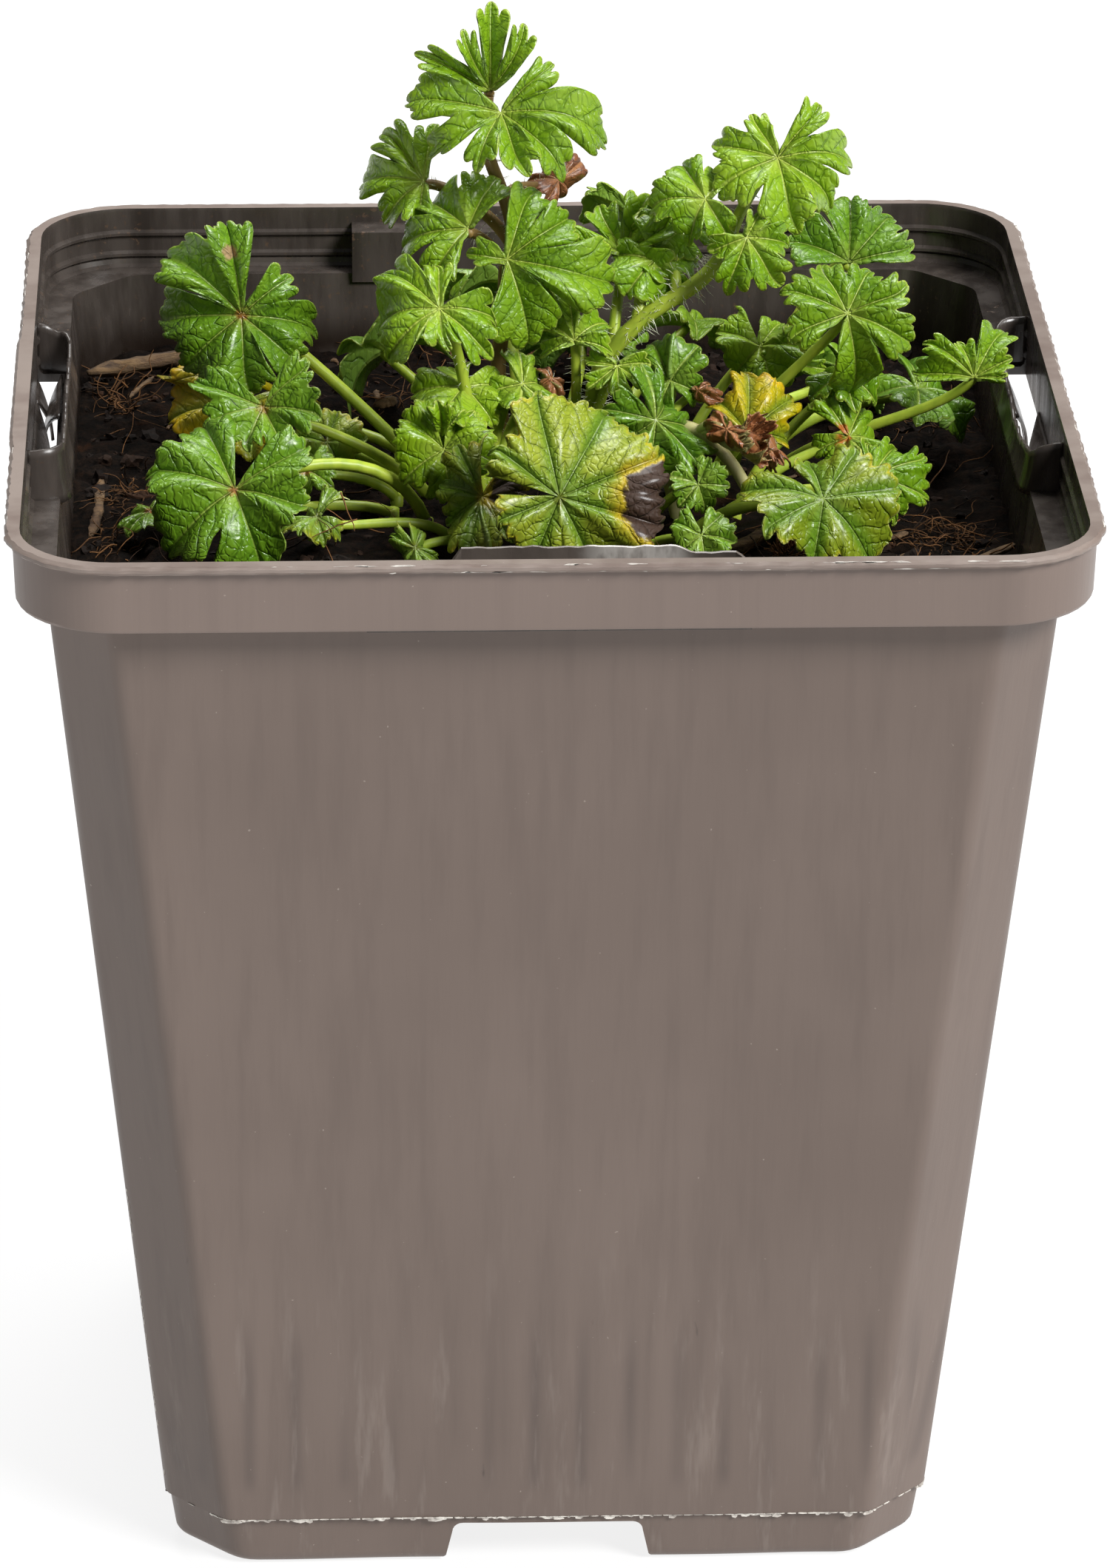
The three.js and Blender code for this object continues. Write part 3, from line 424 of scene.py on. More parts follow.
def stalk_material(name, light, dark, rough=0.42):
    n = Nodes(name)
    streak = n.noise((900.0, 900.0, 160.0))
    colour = n.mix(n.ramp(streak, 0.35, 0.65, 0.0, 0.5), light, dark)
    colour = n.mix(n.ramp(n.noise(90.0, 2.0), 0.45, 0.75, 0.0, 0.5), colour, dark)
    return n.put(Base_Color=colour, Roughness=rough, Normal=n.bump(streak, 0.25, 0.2),
                 Subsurface_Weight=0.12, Subsurface_Scale=1.0,
                 Subsurface_Radius=(0.6 * MM, 0.9 * MM, 0.3 * MM))


leaf_looks = {kind: leaf_material(kind) for kind in LEAF_LOOKS}
stalk_green = stalk_material("stalk_green", srgb(176, 194, 62), srgb(136, 164, 44))
stalk_brown = stalk_material("stalk_brown", srgb(150, 122, 66), srgb(102, 76, 46), 0.5)
stalk_pale = stalk_material("stalk_pale", srgb(196, 190, 132), srgb(160, 146, 96), 0.5)
hair_look = Nodes("stem_hair").put(Base_Color=srgb(236, 238, 214), Roughness=0.4)


# Leaves

FORMS = {
    "round": dict(lobes=7, spread=335, notch=0.92, fold=0.06, waist=0.0, flare=0.1, cone=10, shoulder=0.1),
    "half": dict(lobes=5, spread=330, notch=0.8, fold=0.22, waist=0.0, flare=0.2, cone=24, shoulder=0.15),
    "cut": dict(lobes=5, spread=300, notch=0.56, fold=0.28, waist=0.02, flare=0.32, cone=28),
    "young": dict(lobes=5, spread=250, notch=0.36, fold=0.4, waist=0.12, flare=0.12, cone=30),
    "small": dict(lobes=5, spread=325, notch=0.84, fold=0.16, waist=0.0, flare=0.12, cone=14,
                  shoulder=0.12),
}
BLADE_THICK = 0.35
TOOTH_DEEP = 0.75
TOOTH_WIDE = 1.9
FULL_TEETH_SIZE = 8
LOBE_PARTS_DEEP = 0.09
LOBE_SHOULDER = 0.24
SIDE_LOBES_SHORTER = 0.14
LOBE_UNEVEN = 0.07
WIDEST_HALF_LOBE = math.radians(36)
USUAL_LOBE = 0.8
LOBE_PITCH = math.radians(14)
LOBE_LEAN = math.radians(7)
LOBE_SWING = math.radians(9)
LOBE_TWIST = 0.06
OVERLAP = 0.045
WAVE = 0.08
RIM_WAVE = 0.035
PUFFED = 0.17
RIPPLE = 0.03
RIB_DEEP = 0.2
RIB_HALF_WIDTH = 0.35
BRANCH_PUFF = 0.07
CURL = 14
BEND_STEPS = 8
MOST_COLUMNS = 32
MOST_ROWS = 18


def leaf(heart, size, faces, roll, form, bend=-20, start=0.0, **extra):
    """One blade: its heart, its radius, the turn and slope that it faces, its roll, the form it starts
    from, how far it bends in degrees, and the share of the stem where its stalk leaves. A fan lists its
    lobes: angle, length, pitch, and how far out the cut after the lobe reaches in."""
    turn, rise, roll = [math.radians(angle) for angle in (*faces, roll)]
    outward = np.array([math.sin(turn), -math.cos(turn), 0.0])
    up = np.array([0.0, 0.0, 1.0])
    normal = outward * math.cos(rise) + up * math.sin(rise)
    downhill = outward * math.sin(rise) - up * math.cos(rise)
    along = downhill * math.cos(roll) + np.cross(normal, downhill) * math.sin(roll)
    seed = heart[0] * 1.3 + heart[1] * 0.7 + heart[2]
    own = dict(heart=np.array(heart, float), size=size, normal=normal, along=along,
               side=np.cross(normal, along), bend=bend, start=start, seed=seed)
    return {**FORMS[form], **own, **extra}


def uneven(seed, k):
    return math.sin(seed * 2.399 + k * 1.713)


def lobe_table(blade):
    """For each lobe: middle angle, the half widths on its two sides, length, pitch, and how far out the
    cuts on its two sides reach in."""
    rows = []
    seed = blade["seed"]
    if "fan" in blade:
        cuts = [row[3] if len(row) > 3 else blade["notch"] for row in blade["fan"]]
        middles = [math.radians(row[0]) for row in blade["fan"]]
        halves = [min((b - a) / 2, WIDEST_HALF_LOBE) for a, b in zip(middles, middles[1:])]
        halves = [halves[0], *halves, halves[-1]]
        for k, row in enumerate(blade["fan"]):
            cut_before = cuts[k - 1] if k else blade["notch"]
            pitch = math.radians(row[2])
            rows.append((middles[k], halves[k], halves[k + 1], row[1], pitch, cut_before, cuts[k]))
        return rows
    count = blade["lobes"]
    half = math.radians(blade["spread"]) / count / 2
    middle = (count - 1) / 2
    cuts = [blade["notch"] * (1 + 0.3 * uneven(seed + 2, k)) for k in range(count + 1)]
    for k in range(count):
        length = 1 - SIDE_LOBES_SHORTER * abs(k - middle) / middle + LOBE_UNEVEN * uneven(seed, k)
        pitch = LOBE_PITCH * uneven(seed + 5, k)
        rows.append(((k - middle) * 2 * half, half, half, length, pitch, cuts[k], cuts[k + 1]))
    return rows


def blade_lines(blade, columns):
    """For each line from the heart to the rim: its angle, its place across its lobe from -1 to 1, and
    the lobe's width, length, cut, teeth, pitch, droop, lean and twist. Near a cut, two lobes share their
    pitch."""
    lobes = lobe_table(blade)
    seed = blade["seed"]
    lines = []
    for k, (middle, before, after, length, pitch, cut_before, cut_after) in enumerate(lobes):
        teeth = max(3, round((before + after) * length * blade["size"] / TOOTH_WIDE))
        for i in range(columns + (k + 1 == len(lobes))):
            q = 2 * i / columns - 1
            half, cut, next_k = (before, cut_before, k - 1) if q < 0 else (after, cut_after, k + 1)
            other = lobes[next_k] if 0 <= next_k < len(lobes) else lobes[k]
            ease = 0.5 * abs(q) ** 3
            own_pitch = pitch + LOBE_SWING * uneven(seed + 21, k)
            other_pitch = other[4] + LOBE_SWING * uneven(seed + 21, next_k)
            lines.append((middle + q * half, q, 2 * half, length, min(length, other[3]) * cut, teeth,
                          own_pitch * (1 - ease) + other_pitch * ease,
                          uneven(seed + 9, k) * (1 - ease) + uneven(seed + 9, next_k) * ease,
                          LOBE_LEAN * uneven(seed + 13, k), LOBE_TWIST * uneven(seed + 17, k)))
    return np.array(lines).T


def blade_form(blade):
    """Points and faces of one blade with thickness, and the values that its material reads."""
    size, seed = blade["size"], blade["seed"]
    rows = min(MOST_ROWS, round(8 + 0.8 * size))
    columns = min(MOST_COLUMNS, 2 * round(6 + 0.9 * size))
    angle, q, width, length, notch, teeth, pitch, droop, lean, twist = blade_lines(blade, columns)

    # outline: lobes in parts, with teeth, and cuts between them
    p = np.abs(q)
    edge = np.clip((1 - p) / 0.15, 0, 1)
    parts = np.abs(np.sin(math.pi * 3 * (q + 1) / 2)) ** 0.6
    scallop = np.abs(np.sin(math.pi * teeth * (q + 1) / 2)) ** 0.5
    shoulder = blade.get("shoulder", LOBE_SHOULDER)
    full = length * (1 - shoulder * p ** 2.4) * (1 - LOBE_PARTS_DEEP * (1 - parts))
    full -= TOOTH_DEEP * min(1, size / FULL_TEETH_SIZE) / size * (1 - scallop)
    reach = size * (notch + (full - notch) * edge * edge * (3 - 2 * edge))

    # rows from the heart outward
    step = (np.arange(1, rows + 1) / rows)[:, None] ** 0.85
    dist = step * reach
    beyond = np.clip((dist - size * notch) / (size * (length - notch)), 0, 1)
    spread = 1 - blade["waist"] * np.sin(math.pi * beyond) + blade["flare"] * beyond ** 2
    angle = angle + q * width / 2 * (spread - 1) + lean * beyond ** 2

    # bend from the heart to the rim
    cone = math.radians(blade["cone"])
    bend = math.radians(blade["bend"]) * (1.5 + droop) - 1.6 * cone
    curl = math.radians(blade.get("curl", CURL)) * np.clip(step - 0.55, 0, 1) ** 2 * 5
    out = np.zeros_like(dist)
    lift = np.zeros_like(dist)
    for f in (np.arange(BEND_STEPS) + 0.5) / BEND_STEPS:
        slope = pitch + cone + bend * f * dist / size - curl * f ** 3
        out += np.cos(slope) * dist / BEND_STEPS
        lift += np.sin(slope) * dist / BEND_STEPS

    # folds, puffed halves, waves and overlaps
    wide = width / USUAL_LOBE
    lift += blade["fold"] * dist * (0.6 * q ** 2 - 0.2) * wide
    lift += PUFFED * dist * (2.1 * p * (1 - 0.75 * p) - 0.45) * wide * np.clip(step * 1.6, 0, 1)
    lift += WAVE * dist * np.sin(2 * angle + seed)
    lift += RIM_WAVE * size * step ** 3 * np.sin(angle * 8 + seed * 3)
    lift += (OVERLAP + twist) * size * q * beyond ** 0.7
    ripples = 5.5 * step * (1 + 0.2 * np.sin(2 * angle)) + 2.4 * angle + seed
    lift += RIPPLE * size * np.sin(ripples) * step

    # the groove of each rib, and the puffs between its branches
    half = p * width / 2 * spread
    along, aside = dist * np.cos(half), dist * np.sin(half)
    fade = np.clip((1.02 - step) / 0.25, 0, 1)
    lift -= RIB_DEEP * np.exp(-(aside / RIB_HALF_WIDTH) ** 2) * (0.4 + 0.6 * fade)
    slant = along - aside + 0.5 * np.sin(0.9 * along + 1.7 * aside + seed)
    slant = np.abs(slant / BRANCH_STEP % 1 - 0.5) * BRANCH_STEP
    puffs = np.clip(BRANCH_STEP / 2 - slant, 0, 1) ** 0.7
    lift += BRANCH_PUFF * puffs * fade * np.clip(aside / 0.9, 0, 1)

    if "crumple" in blade:
        ruck = np.sin(7 * angle + 9 * step) + np.sin(11 * angle - 13 * step + 2)
        lift += blade["crumple"] * size * ruck * step * 0.5
        out *= 1 - 0.22 * blade["crumple"] * (1 + np.sin(5 * angle + 3)) * step

    grid = (blade["heart"] + (out * np.cos(angle))[..., None] * blade["along"]
            + (out * np.sin(angle))[..., None] * blade["side"] + lift[..., None] * blade["normal"])
    top = np.vstack([blade["heart"], grid.reshape(-1, 3)])
    ids = 1 + np.arange(dist.size).reshape(dist.shape)
    quads = grid_quads(ids)
    normals = point_normals(top, quads)
    normals[0] = blade["normal"]
    if np.dot(normals.mean(axis=0), blade["normal"]) < 0:
        normals = -normals
    thins = np.broadcast_to(1.3 - 0.9 * step, dist.shape).ravel()
    under = top - normals * BLADE_THICK * np.concatenate([[1.4], thins])[:, None]
    faces = [[0, j, j + 1] for j in ids[0, :-1]] + quads.tolist()
    border = [0, *ids[:, 0], *ids[-1, 1:], *ids[-2::-1, -1]]
    points, faces = closed_sheet(top, under, faces, border)

    rib = np.stack([along, aside, reach - dist], axis=-1).reshape(-1, 3)
    rib = np.vstack([[0, 0, reach.mean()], rib])
    # tone varies at random from leaf to leaf unless given; a low tone given to a leaf that sits in shade is
    # painted shade
    tone = blade.get("tone", 0.5 + 0.45 * uneven(seed, 3))
    return points, faces, dict(rib=np.vstack([rib, rib]), under=np.repeat([0.0, 1.0], len(top)), tone=tone)


def stalk_path(start, blade, steps=14):
    end = blade["heart"] - blade["normal"] * 0.5 + blade["along"] * SEAT
    span = np.linalg.norm(end - start)
    lift = min(0.25 * span, 2 + 0.4 * max(0.0, end[2] - start[2])) + blade.get("arch", 0.0)
    leave = (end - start) * 0.2 + np.array([0, 0, lift])
    arrive = blade["along"] * 0.5 + blade["normal"] * 0.55
    return bezier(start, start + leave, end - arrive * 0.35 * span, end, steps)


def add_hairs(pile, path, radius, count, length):
    """Fine hairs that stand out from a stem."""
    for _ in range(count):
        share = rng.uniform(0.03, 0.99)
        spot = at_share(path, share)
        ahead = at_share(path, min(share + 0.02, 1))
        along = unit(ahead - spot) if share < 0.98 else np.array([0, 0, 1.0])
        around = unit(np.cross(along, unit(rng.normal(size=3))))
        way = unit(around + 0.25 * rng.normal(size=3))
        long = length * rng.uniform(0.5, 1.15)
        root = spot + around * radius * 0.8
        bow = unit(rng.normal(size=3)) * 0.12 * long
        hair = [root, root + way * long * 0.5 + bow, root + way * long + bow * 0.4]
        pile.add(*tube_form(hair, [0.045, 0.032, 0.008], 3), HAIR_SLOT)


BLADE_SLOT, STALK_SLOT, HAIR_SLOT, DRY_SLOT = range(4)


def shoot(name, colour, points, leaves, stem=None, hairs=0, hair_long=1.3, radius=STALK_RADIUS):
    """One plant piece that stands in the compost and takes the place of its solid."""
    pile = Pile()
    x, y = points[0]
    neck = np.array([x, y, COMPOST_LEVEL + NECK])
    neck_path = np.linspace([x, y, COMPOST_LEVEL - 3.0], neck, 4)
    climb = None
    if len(points) > 1:
        climb = smooth_path([neck - [0, 0, 1]] + points[1:], 8)
        whole = np.vstack([neck_path[:-1], climb])
        pile.add(*tube_form(whole, np.linspace(radius * 1.08, radius * 0.8, len(whole)), 12), STALK_SLOT)
        add_hairs(pile, climb, radius, hairs, hair_long)
    else:
        pile.add(*tube_form(neck_path, radius, 10), STALK_SLOT)
    for blade in leaves:
        start = neck - [0, 0, 0.6] if climb is None else at_share(climb, blade["start"])
        path = stalk_path(start, blade)
        thick = 0.5 + 0.015 * blade["size"]
        pile.add(*tube_form(path, np.linspace(thick * 1.06, thick * 0.8, len(path)), 10), STALK_SLOT)
        if hairs:
            straight = np.linalg.norm(path[-1] - path[0])
            add_hairs(pile, path, radius * 0.7, int(5 * straight), hair_long * 0.8)
        form, faces, values = blade_form(blade)
        pile.add(form, faces, DRY_SLOT if "dry" in blade else BLADE_SLOT, **values)
    looks = [leaf_looks[colour], stem or stalk_green, hair_look, leaf_looks["brown"]]
    settle(pile.finish(name + "_foliage", looks), name)


shoot("stem_tall", "green", [[-3, 3], [-4.2, 4.5, 119], [-2.5, 6, 132], [-5.5, 8, 142]], [
    leaf([-4, 6, 146.5], 13, [0, 56], 0, "cut", -14, 1, fan=[(-101, 0.84, 6, 0.6), (-60, 0.7, -4, 0.3),
         (-24, 0.58, -16, 0.5), (14, 0.66, -18, 0.5), (50, 0.78, -8, 0.5), (88, 1.0, 4, 0.4),
         (124, 0.64, 12)]),
    leaf([-5, 8.5, 148], 9.6, [6, 16], 0, "young", 8, 1, fold=0.5, notch=0.34, waist=0.12,
         fan=[(-214, 0.9, 6), (-182, 1.0, -8), (-150, 0.8, 10), (-122, 0.98, -2)]),
    leaf([-12, 8, 138.4], 9.6, [-24, 40], 0, "cut", -18, 0.7, tone=1.0, fan=[(-178, 0.7, 4, 0.7),
         (-134, 0.84, 5, 0.5), (-88, 0.98, 0, 0.6), (-44, 0.8, -10, 0.7), (10, 0.6, -10)]),
    leaf([-7.5, 2.5, 135], 9.5, [-15, 44], 0, "cut", -24, 0.62, fan=[(-200, 0.74, 6), (-124, 0.88, 8),
         (-80, 0.95, -2), (-28, 0.78, -14)]),
    leaf([-3.5, -1, 132.8], 12.3, [8, 38], 0, "cut", -12, 0.5, fan=[(-99, 0.36, 8, 0.2),
         (14, 0.82, -14, 0.3), (72, 1.02, -4, 0.4), (120, 0.74, 10, 0.5), (158, 0.76, 6)]),
    leaf([2.4, 12, 137], 4.4, [40, 36], 150, "round", -50, 0.85, dry=True, crumple=0.03, curl=30),
], stalk_brown, hairs=160, hair_long=1.0, radius=0.85)
shoot("stem_hairy", "lime", [[8, 2], [5.8, 1, 114], [6.6, 1, 120.2], [10.8, 1, 125.4], [16, 2, 128.6],
      [18.4, 3, 130.6], [20, 3, 133.7]], [
    leaf([24.8, 4, 142], 9.4, [2, 44], 0, "cut", -14, 1, notch=0.6, fan=[(-150, 0.6, 6, 0.75),
         (-108, 0.84, 2, 0.82), (-66, 0.86, -6, 0.5), (10, 0.92, -14, 0.62), (60, 0.94, -8, 0.5),
         (98, 1.0, 2, 0.3), (134, 0.86, 10)]),
    leaf([17.2, 2, 138.2], 6.6, [-25, 45], -75, "cut", -24, 0.95, notch=0.66),
    leaf([21.4, -1.5, 135.2], 6.6, [5, 30], 0, "cut", -18, 0.95, fan=[(-72, 0.7, 0, 0.8),
         (-24, 1.0, -8, 0.7), (30, 1.0, -8, 0.7), (84, 0.8, 0, 0.5), (150, 0.5, 4)]),
    leaf([9, 6, 131], 7.5, [-10, 40], 165, "young", 12, 0.5),
    leaf([11, 13, 132], 8, [170, 48], 15, "young", -15, 0.62),
    leaf([12.2, 4, 130.9], 6, [-20, 36], 40, "half", -22, 0.6, tone=0.0),
    leaf([14.6, 7, 133.8], 5.4, [20, 30], -160, "half", -18, 0.75, tone=0.1),
], hairs=420, hair_long=1.6, radius=0.95)
shoot("shoot_right_high", "green", [[18, 2]], [
    leaf([32, -2, 126.9], 8.6, [4, 40], 140, "cut", -14, notch=0.55, fan=[(-130, 1.18, -14, 0.55),
         (-76, 0.97, -6, 0.7), (-34, 0.86, 2, 0.75), (12, 0.76, 6, 0.7), (64, 0.82, 6, 0.75),
         (108, 0.92, 0, 0.78), (150, 0.86, -6)]),
])
shoot("shoot_right_back", "dark", [[21, 9]], [
    leaf([33.2, 12, 127.6], 8.4, [10, 34], 0, "cut", -8, fan=[(98, 0.95, 0, 0.75), (134, 1.0, 3, 0.82),
         (172, 0.98, 6, 0.45), (242, 0.92, 0)], tone=0.08),
])
shoot("shoot_right_far", "green", [[25, 6.5]], [
    leaf([45.8, 1, 118.6], 7.6, [6, 38], 135, "half", -12, notch=0.55, arch=-3, fan=[(-58, 0.5, 10, 0.7),
         (-22, 0.62, 12, 0.6), (14, 1.0, 12, 0.5), (62, 0.6, 4, 0.75), (92, 0.9, 2, 0.8),
         (124, 0.96, -4)]),
])
shoot("shoot_right_shade", "dark", [[24.8, 12]], [
    # this leaf's low tone is painted shade
    leaf([41, 13, 113], 7.6, [35, 62], 20, "half", -18, tone=0.06),
])
shoot("shoot_inner_right", "green", [[14, 4]], [
    leaf([23.6, 7.5, 119.9], 6.2, [0, 50], 15, "half", -22),
    leaf([27.1, 8.1, 117.7], 4.8, [5, 15], 178, "young", 6),
])
shoot("shoot_right_low", "green", [[21.5, -0.5]], [
    leaf([32.3, 2.5, 118.2], 5.4, [5, 64], 0, "cut", -20),
])
shoot("leaf_right_spotted", "green", [[20.5, -4]], [
    leaf([32.4, -2.7, 113.5], 5.8, [5, 55], 60, "round", -18, notch=0.86),
])
shoot("leaf_right_corner", "green", [[18, -8]], [
    leaf([34.2, -11.8, 112.6], 7.2, [14, 52], 90, "round", -16, notch=0.84, fan=[(-62, 0.85, -8, 0.84),
         (-22, 0.98, -8, 0.86), (14, 1.0, 0, 0.84), (48, 0.84, 6, 0.84), (84, 0.6, 8)]),
])
shoot("leaf_right_front", "olive", [[15, -12]], [
    leaf([28.5, -20, 113.2], 9.4, [8, 58], 0, "round", -14, notch=0.82, fan=[(-112, 1.0, 0, 0.88),
         (-66, 0.84, -8, 0.9), (-16, 0.74, -18, 0.88), (46, 1.06, -12, 0.88), (94, 0.92, -2, 0.88),
         (140, 0.78, 6, 0.88), (184, 0.7, 8)]),
])
shoot("leaf_yellow_right", "yellow", [[17.5, -2]], [
    leaf([21.4, -7, 115.6], 8.4, [12, 42], 148, "round", -30, fold=0.3, fan=[(-64, 0.66, 10, 0.92),
         (-24, 0.96, 0, 0.94), (18, 1.0, -4, 0.94), (56, 0.76, 6)]),
])
shoot("leaf_dead_right", "brown", [[14.5, -5.5], [13.2, -4.4, 112], [14, -4.4, 115.2], [17, -6.6, 115.2],
      [19.6, -9.6, 113.2], [21.4, -12.4, 111]], [
    leaf([18.9, -12, 117.9], 4.6, [-30, 40], 20, "round", -95, 0.6, crumple=0.1, curl=60),
    leaf([20.6, -12, 116.0], 4.2, [50, 30], 120, "round", 85, 0.62, crumple=0.1),
    leaf([23.4, -11, 115.3], 3.6, [-60, 60], -70, "round", -100, 0.66, crumple=0.14),
], stem=stalk_pale, radius=0.8)
shoot("leaf_front_round", "olive", [[3, -13.5]], [
    leaf([1.2, -22.5, 114.6], 11.8, [4, 28], 0, "round", -8, fan=[(-70, 0.62, 0), (-24, 0.66, -4),
         (26, 0.84, -6), (72, 0.98, -4), (110, 1.04, 0), (148, 1.02, 2), (190, 1.0, 2), (232, 0.74, 0)]),
])
shoot("leaf_front_holed", "olive", [[-2, -11]], [
    leaf([-6.5, -16, 112.2], 6.9, [-15, 40], -10, "round", -16),
])
shoot("leaf_front_inner", "dark", [[7, -7.5]], [
    leaf([11.8, -8.4, 117.6], 7, [24, 30], 30, "round", -26, notch=0.8, fold=0.3, tone=0.08),
    leaf([16.4, -3, 118.9], 3, [-20, 30], 70, "small", -90, dry=True, crumple=0.12),
    leaf([13.6, -2, 119.6], 5.2, [-14, 40], -150, "half", -20, tone=0.0),
])
shoot("leaf_front_dark", "dark", [[10.5, -9.5]], [
    # this leaf's low tone is painted shade
    leaf([16, -13, 112.2], 3.6, [5, 40], 20, "small", -16, tone=0.06),
])
shoot("leaf_front_low", "dark", [[10, -15.5]], [
    # this leaf's low tone is painted shade
    leaf([16, -19.6, 109.2], 4, [-4, 55], 10, "small", -16, tone=0.06),
])
shoot("shoot_middle", "lime", [[-6, -4]], [
    leaf([-10.7, -8, 129.9], 10.2, [-12, 52], 0, "half", -26, shoulder=0.1, fan=[(-172, 0.52, 4, 0.85),
         (-126, 0.88, 2, 0.93), (-88, 1.0, -2, 0.94), (-50, 0.86, -8, 0.35), (14, 0.5, -12, 0.6),
         (56, 0.74, -8, 0.86), (98, 0.64, 0)]),
    leaf([-10.3, -9, 114.8], 6.6, [-5, 50], 10, "half", -16, tone=1.0),
    leaf([-10.5, -8, 115.5], 5, [0, 8], 180, "young", 6),
    leaf([-8, -3.3, 119.6], 6.6, [-10, 50], -20, "half", -18, tone=1.0),
    leaf([-1.9, -2.8, 119.7], 4.6, [15, 45], 40, "small", -18),
    leaf([1.2, -1, 119.6], 2.6, [20, 40], 60, "small", -60, dry=True, crumple=0.08),
], hairs=60)
shoot("bud_middle", "lime", [[3.5, -1.5]], [
    leaf([8, -2.5, 121.5], 4.6, [0, 40], 0, "young", 10),
    leaf([3.5, -1.5, 124], 5.5, [-10, 50], -170, "young", -6),
], hairs=60)
shoot("leaf_left_upper", "dark", [[-10.5, 5]], [
    leaf([-31.2, 10, 122.9], 11, [0, 34], 0, "half", -12, notch=0.4, arch=-5.5, fan=[(-172, 1.0, 22, 0.8),
         (-132, 1.02, 12, 0.28), (-92, 0.92, -2, 0.88), (-52, 0.84, -12, 0.78), (2, 0.82, -20, 0.5),
         (50, 0.8, -12, 0.85), (86, 0.84, -2, 0.72), (128, 0.66, 8)]),
])
shoot("leaf_left_curled", "dark", [[-11.5, 1]], [
    leaf([-29, -1.6, 116.9], 8.2, [-12, 60], 0, "half", 12, arch=-1.5, fan=[(-104, 1.05, 6, 0.8),
         (-62, 0.84, -10, 0.85), (-15, 0.66, -30, 0.7), (35, 0.66, -28, 0.55), (83, 0.84, 2, 0.8),
         (128, 0.85, 10)]),
])
shoot("leaf_left_yellow", "yellow", [[-12, 9]], [
    leaf([-31, 14, 111.6], 9.4, [-25, 72], -20, "round", -14),
])
shoot("leaf_left_olive", "olive", [[-14.5, 5.5]], [
    leaf([-22.3, 4.5, 110.6], 4.6, [0, 55], 30, "small", -18),
])
shoot("leaf_left_front", "dark", [[-12, -6.5]], [
    leaf([-32, -16, 113.2], 10.6, [-8, 46], 0, "half", -12, arch=6, fan=[(-152, 0.9, 4, 0.8),
         (-102, 0.94, 0, 0.85), (-50, 1.0, -6, 0.5), (24, 0.92, -6, 0.8), (76, 0.82, 0, 0.85),
         (122, 0.9, 4)]),
])
shoot("leaf_left_edge", "dark", [[-15.5, -3.5]], [
    leaf([-40.8, -9, 108.2], 4.3, [-40, 70], 0, "small", -16),
])
shoot("leaf_left_small", "dark", [[-15, 0.5]], [
    leaf([-24.5, -2, 110], 3.8, [-20, 60], 0, "small", -20),
])
shoot("leaf_left_low", "olive", [[-9.5, -11]], [
    leaf([-23.6, -14, 109.4], 4.2, [-20, 70], -60, "round", -30),
])
shoot("leaf_fallen_small", "olive", [[-6, -14]], [
    leaf([-13.5, -18.5, 107.6], 3.6, [0, 40], 20, "round", -50),
])
shoot("leaf_back_left", "green", [[-7, 9]], [
    leaf([-16, 24, 114], 9, [-150, 52], 0, "half", -16),
])
shoot("leaf_back_middle", "green", [[-1.5, 8.5]], [
    leaf([-3, 26, 121], 9.5, [-175, 48], 0, "cut", -14),
])
shoot("leaf_back_low", "dark", [[3, 11]], [
    leaf([6, 34, 111.5], 9, [175, 62], 5, "round", -16),
])
shoot("leaf_back_right", "lime", [[7.5, 8.5]], [
    leaf([17, 26, 116], 8.5, [150, 52], -5, "half", -16),
])
shoot("leaf_back_corner", "dark", [[15, 12]], [
    leaf([34, 27, 110.5], 8.5, [135, 66], 0, "round", -14),
])


# Pot

CHAMFER_ROUND = 1.6
SEAM_HEIGHT = 6
FOOT_INSET = 0.45
GROOVE_STEP = 5
GROOVE_SHIFT = 1.5
GROOVE_DEEP = 0.3
LIP_RAG = 0.24
CHANNEL_HALF_FOOT = 10.7
CHANNEL_HALF_ROOF = 10.1
CHANNEL_ROUND = 1.1
TORN_TALL = 1.8
SHARP = math.radians(28)

OUTSIDE_DARK = srgb(104, 90, 82)
OUTSIDE_LIGHT = srgb(111, 97, 89)
OUTSIDE_STREAK = srgb(92, 79, 72)
OUTSIDE_PALE = srgb(158, 146, 137)
OUTSIDE_BAND = srgb(140, 124, 116)
# colour of the painted shade in the sink marks
OUTSIDE_SINK_SHADE = srgb(74, 64, 60)
OUTSIDE_MARK = srgb(62, 54, 50)
# inside colours: the pot's own plastic painted much darker, as painted shade inside the pot
INSIDE_SHADE_DARK = srgb(55, 49, 45)
INSIDE_SHADE_LIGHT = srgb(78, 71, 66)
DUST = srgb(96, 74, 56)
WET_SOIL = srgb(30, 21, 15)
TORN_DARK = srgb(100, 91, 84)
# pale colour of the painted reflection on the torn strip
TORN_REFLECTION = srgb(206, 201, 194)


